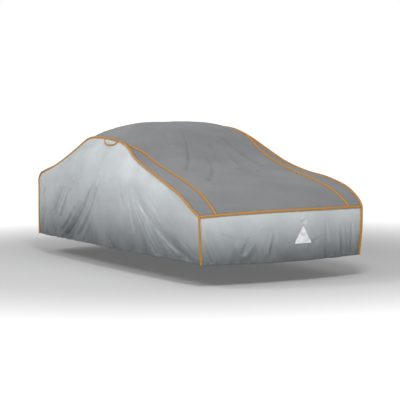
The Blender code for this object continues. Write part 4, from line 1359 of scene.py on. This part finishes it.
class COVER_OT_stage(bpy.types.Operator):
    """Makes the pale floor, the soft studio light and the camera"""

    bl_idname = "cover.stage"
    bl_label = "Stage"

    def execute(self, context):
        scene = context.scene
        scene.view_settings.view_transform = "Standard"
        self.add_floor(scene)
        self.add_world(scene)
        self.add_lights(scene)
        self.add_camera(scene)
        return {"FINISHED"}

    def add_floor(self, scene):
        """A matt floor that runs up into a lit white backdrop: it glows more the further off it is."""
        mesh = bpy.data.meshes.new("studio_floor")
        plane = bmesh.new()
        bmesh.ops.create_grid(plane, x_segments=1, y_segments=1, size=FLOOR_SIZE / 2.0)
        bmesh.ops.translate(plane, verts=plane.verts, vec=(0.0, 0.0, -ORIGIN_HEIGHT))
        plane.to_mesh(mesh)
        plane.free()
        material, tree, shader = new_material("matt_studio_floor")
        shader.inputs["Base Color"].default_value = rgba(scene.cover_finishes.floor)
        shader.inputs["Roughness"].default_value = 0.9
        spot = add_node(tree, "ShaderNodeTexCoord")
        away = add_node(tree, "ShaderNodeVectorMath", {"operation": "LENGTH"}, {
            0: spot.outputs["Object"]})
        glow = add_node(tree, "ShaderNodeMapRange", {"interpolation_type": "SMOOTHSTEP"}, {
            "Value": away.outputs["Value"], "From Min": 2.4, "From Max": 6.5,
            "To Min": 0.11, "To Max": 0.9})
        shader.inputs["Emission Color"].default_value = WHITE
        tree.links.new(glow.outputs[0], shader.inputs["Emission Strength"])
        mesh.materials.append(material)
        floor = bpy.data.objects.new("studio_floor", mesh)
        scene.collection.objects.link(floor)

    def add_world(self, scene):
        """A studio that is bright overhead and darker round about, seen by the camera as white."""
        world = bpy.data.worlds.new("studio")
        world.use_nodes = True
        tree = world.node_tree
        output = tree.nodes["World Output"]
        shown = tree.nodes["Background"]
        shown.inputs["Color"].default_value = WHITE
        spot = add_node(tree, "ShaderNodeTexCoord")
        parts = add_node(tree, "ShaderNodeSeparateXYZ", None, {0: spot.outputs["Generated"]})
        ramp = add_node(tree, "ShaderNodeMapRange", {"interpolation_type": "SMOOTHSTEP"}, {
            "Value": parts.outputs["Z"], "From Min": 0.0, "From Max": 0.80,
            "To Min": 0.15, "To Max": 0.46})
        glow = add_node(tree, "ShaderNodeBackground", None, {"Color": WHITE, "Strength": ramp.outputs[0]})
        path = add_node(tree, "ShaderNodeLightPath")
        mixed = add_node(tree, "ShaderNodeMixShader", None, {
            0: path.outputs["Is Camera Ray"], 1: glow.outputs[0], 2: shown.outputs[0]})
        tree.links.new(mixed.outputs[0], output.inputs["Surface"])
        scene.world = world

    def add_lights(self, scene):
        """One large softbox overhead, one beside the cover and one in front of it."""
        for name, place, target, size, power in SOFTBOXES:
            light = bpy.data.lights.new(name, "AREA")
            light.shape = "SQUARE"
            light.size = size
            light.energy = power
            lamp = bpy.data.objects.new(name, light)
            lamp.location = place
            way = Vector(target) - Vector(place)
            lamp.rotation_mode = "QUATERNION"
            lamp.rotation_quaternion = way.to_track_quat("-Z", "Y")
            scene.collection.objects.link(lamp)

    def add_camera(self, scene):
        """The camera, where the photo was taken from."""
        camera = bpy.data.cameras.new("camera")
        camera.lens = CAMERA_LENS
        camera.clip_end = CAMERA_REACH
        seen = bpy.data.objects.new("camera", camera)
        level = math.cos(CAMERA_ELEVATION)
        back = Vector((
            -math.sin(CAMERA_AZIMUTH) * level,
            -math.cos(CAMERA_AZIMUTH) * level,
            math.sin(CAMERA_ELEVATION)))
        seen.location = CAMERA_TARGET + back * CAMERA_DISTANCE
        turn = (-back).to_track_quat("-Z", "Y").to_matrix().to_4x4()
        seen.rotation_mode = "QUATERNION"
        seen.rotation_quaternion = (turn @ Matrix.Rotation(CAMERA_ROLL, 4, "Z")).to_quaternion()
        scene.collection.objects.link(seen)
        scene.camera = seen


OPERATORS = (COVER_OT_top, COVER_OT_sides, COVER_OT_ends, COVER_OT_piping, COVER_OT_vents,
             COVER_OT_reflectors, COVER_OT_stage)


class COVER_PT_panel(bpy.types.Panel):
    """Lists the steps that make the cover, and its sizes and colours"""

    bl_idname = "COVER_PT_panel"
    bl_label = "Cover"
    bl_space_type = "VIEW_3D"
    bl_region_type = "UI"
    bl_category = "Cover"

    def draw(self, context):
        for operator in OPERATORS:
            self.layout.operator(operator.bl_idname)
        for group in (context.scene.cover_sizes, context.scene.cover_finishes):
            for name in group.bl_rna.properties.keys():
                if name not in ("rna_type", "name"):
                    self.layout.prop(group, name)


CLASSES = (CoverSizes, CoverFinishes, *OPERATORS, COVER_PT_panel)


def register():
    """Registers the classes and puts the sizes and colours on the scene."""
    for cls in CLASSES:
        bpy.utils.register_class(cls)
    bpy.types.Scene.cover_sizes = bpy.props.PointerProperty(type=CoverSizes)
    bpy.types.Scene.cover_finishes = bpy.props.PointerProperty(type=CoverFinishes)


def unregister():
    """Takes away what register added."""
    del bpy.types.Scene.cover_finishes
    del bpy.types.Scene.cover_sizes
    for cls in reversed(CLASSES):
        bpy.utils.unregister_class(cls)


def main():
    """Makes every piece and the stage."""
    register()
    for operator in OPERATORS:
        name = operator.bl_idname.split(".")[1]
        getattr(bpy.ops.cover, name)()


if __name__ == "__main__":
    main()
